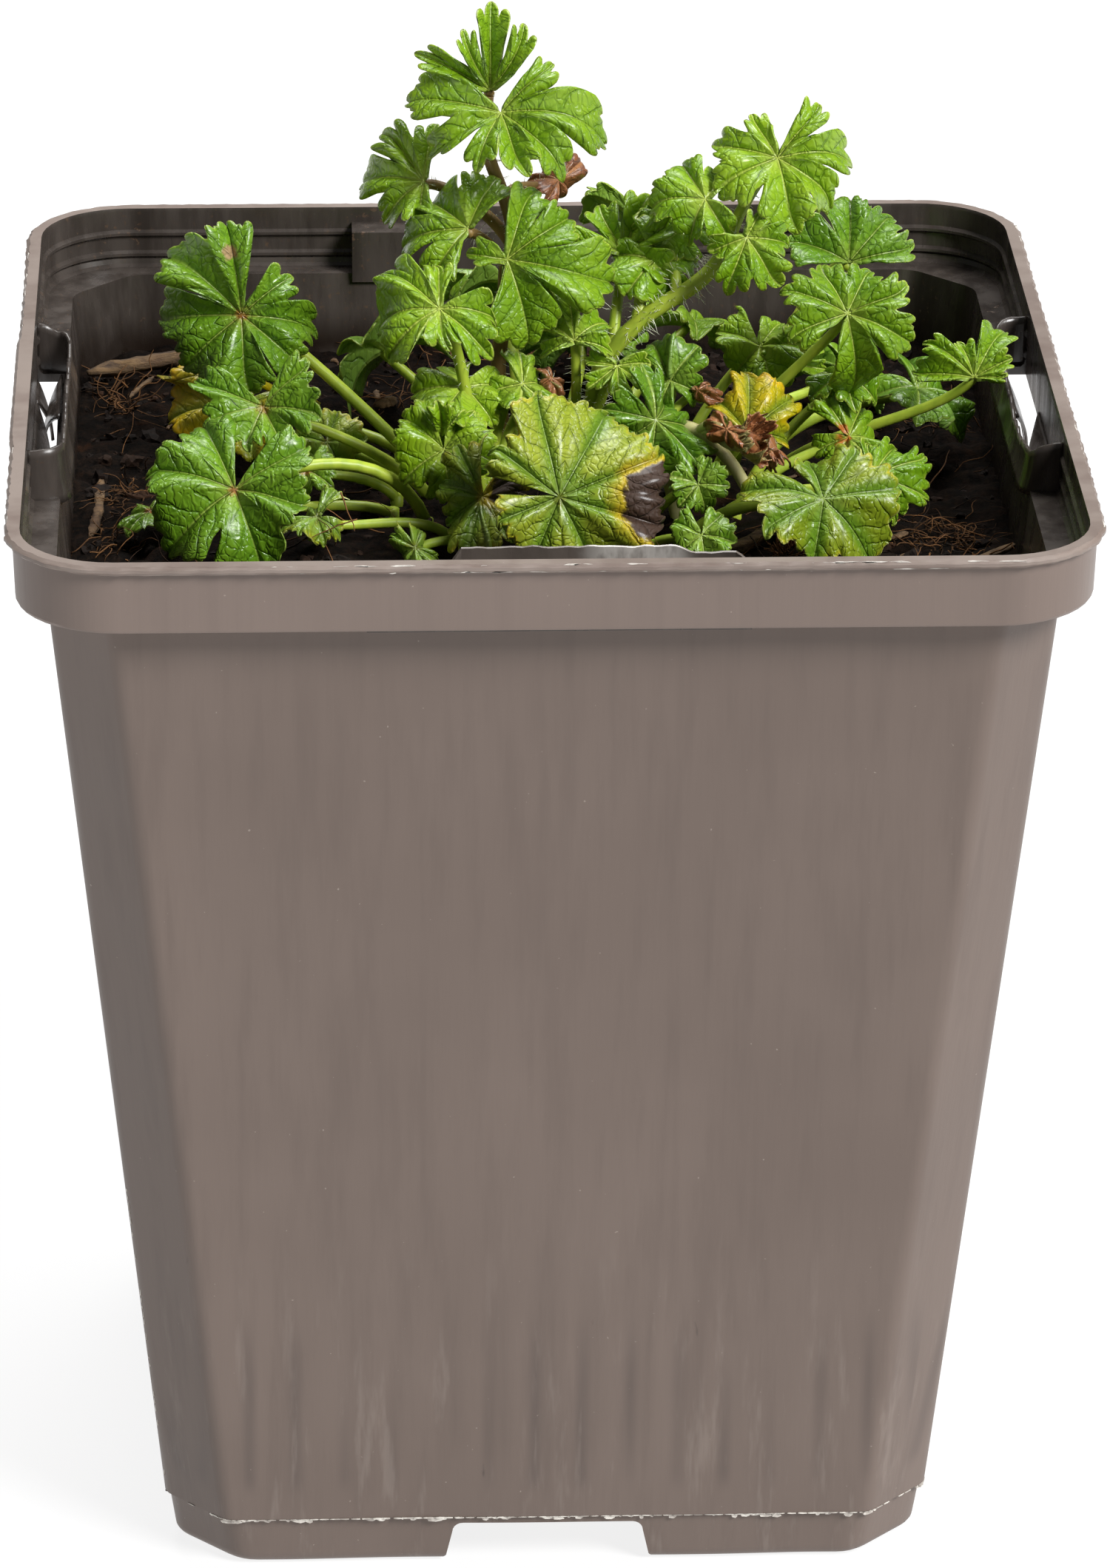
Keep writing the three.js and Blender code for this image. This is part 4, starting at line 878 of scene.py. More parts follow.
def plastic_outside():
    n = Nodes("pot_plastic")
    x, y, height = n.place_mm()
    streak = n.noise((420.0, 420.0, 9.0), 4.0, 0.6)
    fine = n.noise((1500.0, 1500.0, 60.0), 2.0)
    cloud = n.noise(34.0, 4.0)
    low = n.ramp(height, 50, 12)
    colour = n.mix(n.ramp(cloud, 0.3, 0.72), OUTSIDE_DARK, OUTSIDE_LIGHT)
    colour = n.mix(n.ramp(streak, 0.42, 0.75, 0.0, 0.4), colour, OUTSIDE_STREAK)

    # painted shade in the upright sink marks low on each side
    faces_y = n.math("GREATER_THAN", n.math("ABSOLUTE", y), n.math("ABSOLUTE", x))
    along = x * faces_y + y * n.math("SUBTRACT", 1.0, faces_y)
    row = n.ramp(n.math("PINGPONG", along + GROOVE_SHIFT, GROOVE_STEP / 2), 1.2, 0.0)
    some = n.ramp(n.noise((75.0, 75.0, 24.0), 1.0), 0.4, 0.62)
    sink = row * some * n.ramp(height, 34, 22) * n.ramp(height, 8.5, 11.5)
    colour = n.mix(sink * 0.42, colour, OUTSIDE_SINK_SHADE)

    # paler band, smears and dark marks near the foot, specks, and the lip paled partly by wear and partly
    # as painted highlight
    band = n.ramp(height, LEDGE_LEVEL - 0.3, LEDGE_LEVEL + 0.3, 0.0, 0.3)
    colour = n.mix(band, colour, OUTSIDE_BAND)
    smear = n.ramp(n.noise((420.0, 420.0, 30.0), 4.0, 0.65), 0.54, 0.7, 0.0, 0.2)
    colour = n.mix(smear * low, colour, OUTSIDE_PALE)
    mark = n.ramp(n.noise((640.0, 640.0, 190.0), 2.0), 0.74, 0.8, 0.0, 0.8)
    colour = n.mix(mark * low, colour, OUTSIDE_MARK)
    colour = n.mix(n.ramp(n.noise(1900.0, 1.0), 0.79, 0.83, 0.0, 0.6), colour, OUTSIDE_PALE)
    # the lip's top edge is paled partly by wear and partly as painted highlight
    worn_and_highlight = n.ramp(n.noise((60.0, 60.0, 900.0), 4.0, 0.7), 0.36, 0.6, 0.0, 0.42)
    colour = n.mix(n.ramp(height, POT_HEIGHT - 1.4, POT_HEIGHT - 0.8) * worn_and_highlight, colour, OUTSIDE_PALE)
    return n.put(Base_Color=colour, Roughness=n.ramp(cloud, 0.3, 0.7, 0.38, 0.52),
                 Normal=n.bump(streak * 0.6 + fine * 0.3, 0.2, 0.25), Specular_IOR_Level=0.45)


# the inside of the pot: the plastic painted darker as painted shade, with real dust and soil stains
def plastic_inside_shaded():
    n = Nodes("pot_inside_shaded")
    height = n.place_mm()[2]
    streak = n.noise((300.0, 300.0, 60.0), 4.0, 0.6)
    soiled = n.noise(90.0, 4.0, 0.6)
    colour = n.mix(n.ramp(streak, 0.3, 0.7), INSIDE_SHADE_DARK, INSIDE_SHADE_LIGHT)
    dirty = n.ramp(n.noise(1500.0, 3.0, 0.6), 0.58, 0.7) * n.ramp(soiled, 0.5, 0.66, 0.1, 0.8)
    colour = n.mix(dirty, colour, DUST)
    near_soil = n.ramp(height, 110, 105) * n.ramp(soiled, 0.35, 0.55, 0.3, 0.95)
    colour = n.mix(near_soil, colour, WET_SOIL)
    rough = n.math("MAXIMUM", n.ramp(streak, 0.3, 0.7, 0.22, 0.32), dirty * 0.8)
    return n.put(Base_Color=colour, Roughness=rough, Normal=n.bump(streak, 0.25, 0.3),
                 Specular_IOR_Level=0.5)


# pale flash; the flakes along the lip also stand for a painted highlight
def flash_and_highlight_material():
    n = Nodes("pot_flash_and_highlight")
    cloud = n.noise(900.0)
    colour = n.mix(n.ramp(cloud, 0.35, 0.65), srgb(168, 160, 152), srgb(226, 221, 212))
    return n.put(Base_Color=colour, Roughness=0.35, Normal=n.bump(cloud, 0.3, 0.2))


def torn_material():
    """Plastic torn at the front box, with a pale painted reflection across its middle."""
    n = Nodes("pot_torn")
    across = n.place_mm()[0]
    cloud = n.noise((700.0, 700.0, 250.0))
    # painted reflection across the middle of the strip
    painted_reflection = n.ramp(across, 1, 5) * n.ramp(across, 14, 11) * n.ramp(cloud, 0.3, 0.6, 0.35, 1.0)
    return n.put(Base_Color=n.mix(painted_reflection, TORN_DARK, TORN_REFLECTION), Roughness=0.35,
                 Normal=n.bump(cloud, 0.3, 0.2))


pot_look = plastic_outside()
inside_shaded_look = plastic_inside_shaded()


def quarter_turn(quarter):
    """The cosine and sine of so many quarter turns."""
    return ((1, 0), (0, 1), (-1, 0), (0, -1))[quarter]


def rounded_ring(half, radius, z, steps=10):
    ring = []
    for quarter, (sx, sy) in enumerate(((1, 1), (-1, 1), (-1, -1), (1, -1))):
        for i in range(steps + 1):
            angle = (quarter + i / steps) * math.pi / 2
            ring.append((sx * (half - radius) + radius * math.cos(angle),
                         sy * (half - radius) + radius * math.sin(angle), z))
    return ring


def chamfered_ring(half, z, soft=CHAMFER_ROUND, steps=4):
    """A square with its corners cut at 45 degrees and the edges of the cut rounded."""
    cut = half - BODY_CHAMFER
    slant = soft * math.sqrt(0.5)
    corner = []
    for before, middle, after in (((half, cut - soft), (half, cut), (half - slant, cut + slant)),
                                  ((cut + slant, half - slant), (cut, half), (cut - soft, half))):
        for t in np.arange(steps + 1) / steps:
            corner.append([(1 - t) ** 2 * a + 2 * t * (1 - t) * b + t * t * c
                           for a, b, c in zip(before, middle, after)])
    ring = []
    for quarter in range(4):
        c, s = quarter_turn(quarter)
        ring += [(x * c - y * s, x * s + y * c, z) for x, y in corner]
    return ring


def counts_for(ring, step):
    """How many pieces each side of a ring is split into, each about one step long."""
    return [max(1, round(math.dist(p, q) / step)) for p, q in zip(ring, ring[1:] + ring[:1])]


def dense(ring, counts):
    points = []
    for a, b, count in zip(ring, ring[1:] + ring[:1], counts):
        points += [tuple(p + (q - p) * i / count for p, q in zip(a, b)) for i in range(count)]
    return points


def pushed(ring, push):
    """The ring with each side moved outward by what push says for that side, place along it and height."""
    out = []
    for x, y, z in ring:
        if abs(x) > abs(y):
            out.append((x + math.copysign(1, x) * push(0 if x > 0 else 1, y, z), y, z))
        else:
            out.append((x, y + math.copysign(1, y) * push(2 if y > 0 else 3, x, z), z))
    return out


def between(value, low, high):
    t = min(max((value - low) / (high - low), 0.0), 1.0)
    return t * t * (3 - 2 * t)


def body_half(z):
    return BASE_WIDTH / 2 + (BODY_TOP_WIDTH - BASE_WIDTH) / 2 * z / LEDGE_LEVEL


def body_push(side, s, z):
    """Slight waves of the thin wall, and the upright sink marks low on each side."""
    fade = between(body_half(z) - BODY_CHAMFER - 1 - abs(s), 0, 6)
    wave = 0.1 * math.sin(0.12 * s + 0.05 * z + 2.1 * side) + 0.05 * math.sin(0.29 * s - 0.08 * z + side)
    groove = (0.5 + 0.5 * math.cos(2 * math.pi * (s + GROOVE_SHIFT) / GROOVE_STEP)) ** 2
    where = between(z, 11, 16) * (1 - between(z, 24, 44)) * math.exp(-((s - 1) / 20) ** 2)
    return fade * (wave - GROOVE_DEEP * groove * where)


def lip_push(side, s, z):
    """The ragged edge of the lip, which bulges on one side by the label slot."""
    rag = 0.06 * math.sin(1.9 * s + side) + 0.05 * math.sin(4.3 * s + 2 * side) + 0.04 * math.sin(9.1 * s)
    bulge = between(s, -21, -17) * (1 - between(s, 8, 14)) if side == 1 else 0.0
    return min(-LIP_RAG * (1 - bulge) + rag * (1 - 0.5 * bulge), 0.0)


def loft_object(name, rings):
    points = [p for ring in rings for p in ring]
    return make_object(name, points, ring_faces(len(rings[0]), len(rings)), [pot_look])


def block_object(low, high):
    (x0, y0, z0), (x1, y1, z1) = low, high
    return loft_object("tool", [[(x0, y0, z), (x1, y0, z), (x1, y1, z), (x0, y1, z)] for z in (z0, z1)])


def turned(obj, quarters):
    obj.data.transform(Matrix.Rotation(math.pi / 2 * quarters, 4, "Z"))
    return obj


def combine(target, tool, operation):
    """Joins the second piece to the first, or cuts it out, and removes the second."""
    modifier = target.modifiers.new("join", "BOOLEAN")
    modifier.operation = operation
    modifier.solver = "MANIFOLD"
    modifier.object = tool
    deps = bpy.context.evaluated_depsgraph_get()
    made = bpy.data.meshes.new_from_object(target.evaluated_get(deps))
    target.modifiers.clear()
    target.data = made
    bpy.data.objects.remove(tool)
    return target


def foot_rings(low, inset):
    """The rings of the rounded edge under a body whose wall stands in by inset."""
    rings = []
    for t in np.linspace(0, math.pi / 2, 6):
        half = body_half(low) - inset - FOOT_ROUND * (1 - math.sin(t))
        rings.append(chamfered_ring(half, low + FOOT_ROUND * (1 - math.cos(t))))
    return rings


def outer_body(high):
    rings = foot_rings(0, FOOT_INSET)
    rings.append(chamfered_ring(body_half(SEAM_HEIGHT) - FOOT_INSET, SEAM_HEIGHT - 0.25))
    for z in [SEAM_HEIGHT + 0.05, *np.linspace(SEAM_HEIGHT + 2, high, 44)]:
        rings.append(chamfered_ring(body_half(z), z, 1.1))
    counts = counts_for(rings[9], 1.3)
    return loft_object("pot_shell", [pushed(dense(ring, counts), body_push) for ring in rings])


def inner_body(high):
    rings = foot_rings(WALL, WALL)
    return loft_object("tool", rings + [chamfered_ring(body_half(high) - WALL, high)])


def channel_object(grow):
    """The cross-shaped channel under the base, with rounded corners at its foot and its roof."""
    foot, roof, tall = CHANNEL_HALF_FOOT + grow, CHANNEL_HALF_ROOF + grow, CHANNEL_HEIGHT + grow
    soft = CHANNEL_ROUND
    turns = np.linspace(0, math.pi / 2, 6)
    section = [(-foot - soft, -1), (foot + soft, -1)]
    section += [(foot + soft * (1 - math.sin(t)), soft * (1 - math.cos(t))) for t in turns]
    section += [(roof - soft * (1 - math.cos(t)), tall - soft * (1 - math.sin(t))) for t in turns]
    section += [(-x, z) for x, z in section[:1:-1]]
    points = [(x, y, z) for y in (-BASE_WIDTH, BASE_WIDTH) for x, z in section]
    faces = [face[::-1] for face in ring_faces(len(section), 2)]
    bars = [turned(make_object("tool", points, faces, [pot_look]), turn) for turn in (0, 1)]
    return combine(bars[0], bars[1], "UNION")


def band_object():
    half = BAND_HALF - BAND_DRAFT
    return loft_object("tool", [
        rounded_ring(half - 0.5, BAND_ROUND, LEDGE_LEVEL),
        rounded_ring(half - 0.15, BAND_ROUND, LEDGE_LEVEL + 0.15),
        rounded_ring(half, BAND_ROUND, LEDGE_LEVEL + 0.5),
        rounded_ring(BAND_HALF, BAND_ROUND, POT_HEIGHT - LIP_THICK / 2),
    ])


def lip_object():
    half = BAND_HALF + LIP_OUT
    rings = [rounded_ring(half - inset, BAND_ROUND + LIP_OUT, POT_HEIGHT - LIP_THICK * down)
             for inset, down in ((0.25, 1), (0, 0.7), (0, 0.35), (0.3, 0))]
    counts = counts_for(rings[0], 0.7)
    return loft_object("tool", [pushed(dense(ring, counts), lip_push) for ring in rings])


def band_hollow():
    """The space inside the rim band, with two ribs around it."""
    rings = [(LEDGE_LEVEL + WALL, 0.6), (LEDGE_LEVEL + WALL + 0.3, 0.25), (LEDGE_LEVEL + WALL + 0.8, 0.1)]
    for level in RIB_LEVELS:
        rings += [(level - 0.45, 0), (level - 0.15, 0.3), (level + 0.15, 0.3), (level + 0.45, 0)]
    rings += [(POT_HEIGHT - 0.4, 0), (POT_HEIGHT + 1, -0.4)]
    half = BAND_HALF - WALL
    return loft_object("tool", [rounded_ring(half - inset, BAND_ROUND - WALL, z) for z, inset in rings])


def is_inside(face):
    """True for the faces of the pot that look into it or into a box on its ledge, which take the inside
    plastic with its painted shade.
    """
    x, y, z = face.center / MM
    nx, ny, nz = face.normal
    far, near = max(abs(x), abs(y)), min(abs(x), abs(y))
    behind_band = far < BAND_HALF - WALL / 2
    if nz > 0.5 and z > POT_HEIGHT - 1:
        return False
    inward = nx * x + ny * y < -0.1 * math.hypot(x, y) and z > WALL
    upward = nz > 0.5 and z > CHANNEL_HEIGHT - 1 and z < POT_HEIGHT - 1 and behind_band
    in_box = z > LEDGE_LEVEL + 0.05 and near < BOX_HALF_LENGTH + 0.5 and behind_band
    return inward or upward or in_box


def build_pot():
    pot = combine(outer_body(LEDGE_LEVEL + WALL / 2), channel_object(0), "DIFFERENCE")
    pot = combine(pot, band_object(), "UNION")
    pot = combine(pot, lip_object(), "UNION")
    inside = combine(inner_body(LEDGE_LEVEL + WALL + 0.1), channel_object(WALL), "DIFFERENCE")
    pot = combine(pot, inside, "DIFFERENCE")
    pot = combine(pot, band_hollow(), "DIFFERENCE")
    for reach, turn in [(0, 0)] + [(DRAIN_REACH, t) for t in range(4)]:
        path = [[reach, 0, CHANNEL_HEIGHT - 2 * WALL], [reach, 0, CHANNEL_HEIGHT + 3 * WALL]]
        drain = make_object("tool", *tube_form(path, DRAIN_RADIUS, 24), [pot_look])
        pot = combine(pot, turned(drain, turn), "DIFFERENCE")
    for turn in range(4):
        top = POT_HEIGHT + 1
        if turn % 2:
            top = BOX_TOP - BOX_WALL
            box = block_object((BOX_INNER, -BOX_HALF_LENGTH, LEDGE_LEVEL),
                               (BAND_HALF - WALL / 2, BOX_HALF_LENGTH, BOX_TOP))
            pot = combine(pot, turned(box, turn), "UNION")
        space = block_object((SLOT_INNER, BOX_WALL - BOX_HALF_LENGTH, LEDGE_LEVEL - 0.3),
                             (BAND_HALF - WALL, BOX_HALF_LENGTH - BOX_WALL, top))
        pot = combine(pot, turned(space, turn), "DIFFERENCE")
    mesh = pot.data
    mesh.materials.clear()
    mesh.materials.append(pot_look)
    mesh.materials.append(inside_shaded_look)
    mesh.polygons.foreach_set("material_index", [int(is_inside(face)) for face in mesh.polygons])
    mesh.polygons.foreach_set("use_smooth", [True] * len(mesh.polygons))
    mesh.set_sharp_from_angle(angle=SHARP)
    mesh.update()
    even = pot.modifiers.new("even_shading", "WEIGHTED_NORMAL")
    even.keep_sharp = True
    settle(pot, "pot")


def ragged(s, seed, deep=1.0):
    """An uneven torn edge along a length."""
    slow = math.sin(0.9 * s + seed) + 0.7 * math.sin(2.3 * s + 1.7 * seed)
    quick = math.sin(7.1 * s + seed) * math.sin(3.7 * s + 2 * seed)
    return deep * (0.22 * slow + 0.14 * quick)


# Each side slot, right and left: how far the long wall stands above the ledge, from one end to the other
WALL_TOPS = {1: [6.4, 4.4, 3.6, 4.2, 5.0, 5.4, 6.2], -1: [6.0, 4.6, 4.9, 5.6, 5.2, 5.8, 6.6]}
# Flaps left hanging in the slots: side, the two ends of the root, tip, drop, and if it hangs from the band
FLAPS = [
    (1, -17.5, -8, -9, 5.5, True), (1, -9, 4, -2, 4.5, True), (1, 2, 17, 7, 5, False),
    (1, -17, -10, -15, 3, False), (-1, -16, -9, -12, 5, True), (-1, -10, 8, -4, 6, True),
    (-1, 4, 17.5, 9, 3.5, False), (-1, -17.5, -4, -9, 3.6, False),
]
SLOT_CORNER = 2.2
SHEET_ROWS = 8
SHEET_FOOT = WALL - 0.5


def slot_outline():
    """The path of the torn wall around a slot, from the band and back to it."""
    inner, outer, end = BOX_INNER + 0.35, BAND_HALF - WALL + 0.05, BOX_HALF_LENGTH - 0.1
    path = [(outer, -end)] + [(x, -end) for x in np.linspace(outer - 0.4, inner + SLOT_CORNER, 3)]
    path += [(inner + SLOT_CORNER * (1 - math.sin(t)), -end + SLOT_CORNER * (1 - math.cos(t)))
             for t in np.linspace(0.2, math.pi / 2, 6)]
    path += [(inner, y) for y in np.linspace(-end + SLOT_CORNER + 0.45, 0, 38)]
    path += [(x, -y) for x, y in path[-2::-1]]
    return np.array(path), outer, end


def slot_wall(side):
    outline, outer, end = slot_outline()
    run = lengths_along(outline)
    tops = WALL_TOPS[side]
    seed = 2.0 if side > 0 else 4.0
    grid = []
    for level in np.arange(SHEET_ROWS) / (SHEET_ROWS - 1):
        row = []
        for (x, y), s in zip(outline, run):
            tall = np.interp(s / run[-1], np.linspace(0, 1, len(tops)), tops) + ragged(s, seed)
            near_band = between(outer - x, 2.6, 0.3) if abs(y) > end - 1.5 else 0.0
            tall = tall * (1 - near_band) + (POT_HEIGHT - LEDGE_LEVEL - 1.2) * near_band
            lean = 0.7 * (1 - level) ** 2 * (abs(y) < end - 0.5)
            z = LEDGE_LEVEL + SHEET_FOOT + (tall - SHEET_FOOT) * level
            row.append((side * (x - lean), side * y, z))
        grid.append(row)
    return sheet_form(np.array(grid), 0.4)


def slot_flap(number, side, y0, y1, tip_y, drop, from_band):
    root_x, toward = (BAND_HALF - WALL - 0.1, -1) if from_band else (SLOT_INNER + 0.15, 1)
    shares = np.arange(9) / 8
    grid = []
    for t in shares:
        row = []
        for q in shares:
            y = y0 + (y1 - y0) * q
            y += (tip_y - y) * t ** 0.8 + 0.25 * math.sin(9 * t + number) * (1 - t)
            x = root_x + toward * (1.7 * math.sin(t * 1.5) + 0.15 * ragged(3 * q, number))
            row.append((side * x, side * y, LEDGE_LEVEL + WALL - 0.2 - drop * t ** 1.3 + 0.3 * (1 - t)))
        grid.append(row)
    return sheet_form(np.array(grid), 0.3)


def build_slot_sheets():
    """The torn walls around the two label slots, and the flaps that hang in them."""
    pile = Pile()
    for side in WALL_TOPS:
        pile.add(*slot_wall(side))
    for number, flap in enumerate(FLAPS):
        pile.add(*slot_flap(number, *flap))
    # the torn slot walls take the inside plastic with its painted shade
    settle(pile.finish("pot_slot_walls", [inside_shaded_look]))


def flake(pile, middle, out, size, tall):
    """One ragged pale flake that stands a little proud of the wall."""
    out = np.array(out, float)
    along = np.cross(out, [0, 0, 1.0])
    count = 7
    ring = []
    for angle in 2 * math.pi * np.arange(count) / count:
        reach = rng.uniform(0.6, 1.0)
        spoke = along * math.cos(angle) * size + [0, 0, math.sin(angle) * tall]
        ring.append(middle + spoke * reach)
    pile.add([p - out * 0.12 for p in ring] + [p + out * 0.1 for p in ring], ring_faces(count, 2))


def seam_flash(pile):
    """Flash along the base seam, and down the front left chamfer."""
    half = body_half(SEAM_HEIGHT)
    ring = chamfered_ring(half + 0.02, SEAM_HEIGHT, 1.1)
    seam = np.array(dense(ring, counts_for(ring, 1.1)))
    for here, ahead in zip(seam, np.roll(seam, -1, axis=0)):
        length = np.linalg.norm(ahead - here)
        run = unit(ahead - here)
        out = np.array([run[1], -run[0], 0.0])
        if abs(here[1]) < half - 1 and rng.random() < 0.5:
            continue
        middle = (here + ahead) / 2 - out * 0.06 - [0, 0, 0.02]
        flake(pile, middle, out, length * 0.55, rng.uniform(0.05, 0.09))
        if rng.random() < 0.5:
            big = rng.uniform(0.14, 0.36)
            flake(pile, here - out * 0.2 - [0, 0, big * 0.8], out, big * rng.uniform(0.8, 3.4), big)
    for z in np.arange(8.5, 44, 0.9):
        if rng.random() < 0.6:
            edge = [-body_half(z) + 0.25, -body_half(z) + BODY_CHAMFER + 0.1, z]
            flake(pile, edge, [-0.92, -0.38, 0], rng.uniform(0.06, 0.16), rng.uniform(0.2, 0.6))


# pale flakes along the lip, partly flash and partly a painted highlight
def lip_flash_and_highlight(pile):
    reach = BAND_HALF + LIP_OUT - LIP_RAG - 0.3
    for side in range(4):
        c, s = quarter_turn(side)
        out = np.array([s, -c, 0.0])
        for _ in range(46):
            along = rng.uniform(-BAND_HALF + 8, BAND_HALF - 8)
            spot = out * reach + np.array([c, s, 0.0]) * along
            spot[2] = POT_HEIGHT - rng.choice([0.12, 0.45, 0.8])
            flake(pile, spot, out, rng.uniform(0.5, 2.6), rng.uniform(0.05, 0.13))


def torn_strip():
    """The strip that stands up from the closed box at the front."""
    grid = []
    for level in np.arange(6) / 5:
        row = []
        for x in np.linspace(-10.6, 19, 60):
            edge = between(x, -10.7, -9.4) * (1 - between(x, 17.4, 19))
            stand = TORN_TALL * edge * (1 - 0.4 * between(x, 11, 14)) + 0.35 * ragged(x, 4.0, 0.9)
            y = -BOX_INNER - 0.5 - 0.5 * level + 0.1 * math.sin(0.9 * x)
            row.append((x, y, BOX_TOP - 0.3 + (stand + 0.3) * level))
        grid.append(row)
    return sheet_form(np.array(grid), 0.25)


def build_flash():
    """Thin pale flash along the base seam and the lip, where it also stands for a painted highlight, and
    the torn strip on the closed box at the front, with its painted reflection.
    """
    pile = Pile()
    seam_flash(pile)
    lip_flash_and_highlight(pile)
    pile.add(*torn_strip(), 1)
    obj = pile.finish("pot_flash_and_highlight", [flash_and_highlight_material(), torn_material()], smooth=False)
    settle(obj)


build_pot()
build_slot_sheets()
build_flash()


# Compost

COMPOST_HALF = 49.45
COMPOST_CUT = 2 * COMPOST_HALF - BODY_CHAMFER + 0.1
GRID = 200
DOMES = 5200
CRUMBS = 1500
FIBRES = 620
FIBRE_STEPS = 6
TUFT_FIBRES = 46
SPLINTER_SIDES = 10
SPLINTER_STEPS = 16

# Tangles that the plant's edge leaves in view: middle, spread, count, length and tone
TANGLES = [
    (-44, 31, 3.5, 46, 8, 0.45), (-44, 2, 4, 60, 5, 0.4), (-45, -10, 3, 34, 5, 0.5),
    (42, -12, 4.4, 120, 5, 0.5), (-12, 30, 6, 60, 6, 0.5), (30, -19, 3, 26, 5, 0.5),
    (44, 24, 4, 40, 6, 0.4), (0, 42, 8, 40, 7, 0.45), (38, -26, 3, 26, 4, 0.45),
]
# Single fibres that show: start, heading, rise, length, radius, tone and how much each wanders
SINGLE_FIBRES = [
    ([20.2, -16.4, 105.4], 0.3, 0.5, 5, 0.06, 0.9, 0.3),
    ([-21.1, -15.0, 112.4], -0.9, -0.7, 4.6, 0.1, 0.8, 0.25),
    ([-19.4, -16.0, 109.8], 3.3, -0.35, 6.2, 0.08, 0.75, 0.2),
]
# Bits of wood that show: the two ends, width and height
WOOD = [
    ([-48.3, 36.6, 106.6], [-33.0, 42.2, 107.2], 2.2, 1.6),
    ([-46.0, 7.0, 105.6], [-47.2, -9.5, 105.7], 1.1, 0.8),
    ([-43.6, 30.6, 106.0], [-41.2, 36.6, 106.3], 0.6, 0.4),
    ([43.6, -19.6, 105.7], [48.6, -16.0, 106.4], 1.3, 0.6),
    ([19.0, -15.6, 105.6], [26.4, -8.4, 106.6], 1.7, 1.4),
    ([-17.0, 27.6, 105.9], [-14.4, 28.6, 106.1], 1.6, 1.2),
]
SMALL_WOOD = 46


def compost_height(x, y):
    swell = np.sin(x * 0.11 + 1.3) * np.cos(y * 0.13 - 0.4)
    lumps = np.sin(x * 0.71 + y * 0.37) * np.cos(y * 0.63 - x * 0.29)
    return COMPOST_LEVEL + COMPOST_ROUGH * (0.6 * swell + 0.5 * lumps)


def compost_material():
    n = Nodes("compost_crumb")
    crumbs = n.noise(900.0, 5.0, 0.7)
    patches = n.ramp(n.noise(240.0, 4.0, 0.6), 0.6, 0.74, 0.0, 0.45)
    colour = n.mix(n.ramp(crumbs, 0.38, 0.66), srgb(10, 7, 5), srgb(28, 19, 13))
    colour = n.mix(patches, colour, srgb(58, 36, 21))
    return n.put(Base_Color=colour, Roughness=0.95, Normal=n.bump(crumbs, 0.9, 0.5),
                 Specular_IOR_Level=0.08)


def toned_material(name, dark, light):
    """A material whose colour runs from dark to light with the tone that each small piece carries."""
    n = Nodes(name)
    grain = n.noise(1100.0, 3.0, 0.6)
    tone = n.attribute("tone") + grain * 0.5 - 0.25
    return n.put(Base_Color=n.mix(tone, dark, light), Roughness=0.85, Normal=n.bump(grain, 0.7, 0.3),
                 Specular_IOR_Level=0.2)


def bark_material():
    n = Nodes("bark_wood")
    grain = n.noise((300.0, 900.0, 1500.0), 5.0, 0.7)
    colour = n.mix(n.ramp(grain, 0.3, 0.7), srgb(58, 41, 26), srgb(126, 99, 66))
    colour = n.mix(n.ramp(n.noise(200.0), 0.45, 0.7, 0.0, 0.6), colour, srgb(82, 56, 36))
    return n.put(Base_Color=colour, Roughness=0.85, Normal=n.bump(grain, 0.9, 0.5))


def on_compost(inset):
    """A random place on the compost."""
    while True:
        x, y = rng.uniform(-COMPOST_HALF + inset, COMPOST_HALF - inset, 2)
        if abs(x) + abs(y) < COMPOST_CUT - inset:
            return x, y


def any_way():
    return rng.uniform(0, 2 * math.pi)


def build_compost_top(look):
    """The surface of the compost, with many small domes on it."""
    axis = np.linspace(-COMPOST_HALF, COMPOST_HALF, GRID)
    cell = axis[1] - axis[0]
    x, y = np.meshgrid(axis, axis, indexing="ij")
    height = compost_height(x, y) + 0.2
    for _ in range(DOMES):
        middle = rng.uniform(-COMPOST_HALF, COMPOST_HALF, 2)
        wide = rng.choice([0.7, 1.0, 1.5, 2.3], p=[0.4, 0.33, 0.2, 0.07])
        tall = wide * rng.uniform(0.25, 0.75)
        low = np.maximum(((middle - wide + COMPOST_HALF) / cell).astype(int), 0)
        high = np.minimum(((middle + wide + COMPOST_HALF) / cell).astype(int) + 2, GRID)
        near = tuple(slice(a, b) for a, b in zip(low, high))
        dx = (x[near] - middle[0]) / wide
        dy = (y[near] - middle[1]) / wide
        dome = tall * np.sqrt(np.clip(1 - dx * dx - dy * dy, 0, 1))
        top = compost_height(*middle) + 0.2 + dome * rng.uniform(0.6, 1.0)
        height[near] = np.maximum(height[near], top)
    points = np.stack([x, y, height], axis=-1).reshape(-1, 3)
    keep = np.abs(x[:-1, :-1] + x[1:, 1:]) + np.abs(y[:-1, :-1] + y[1:, 1:]) < 2 * COMPOST_CUT
    quads = grid_quads(np.arange(GRID * GRID).reshape(GRID, GRID))[keep.ravel()]
    used, numbers = np.unique(quads, return_inverse=True)
    settle(make_object("compost_surface", points[used], numbers.reshape(-1, 4), [look]))


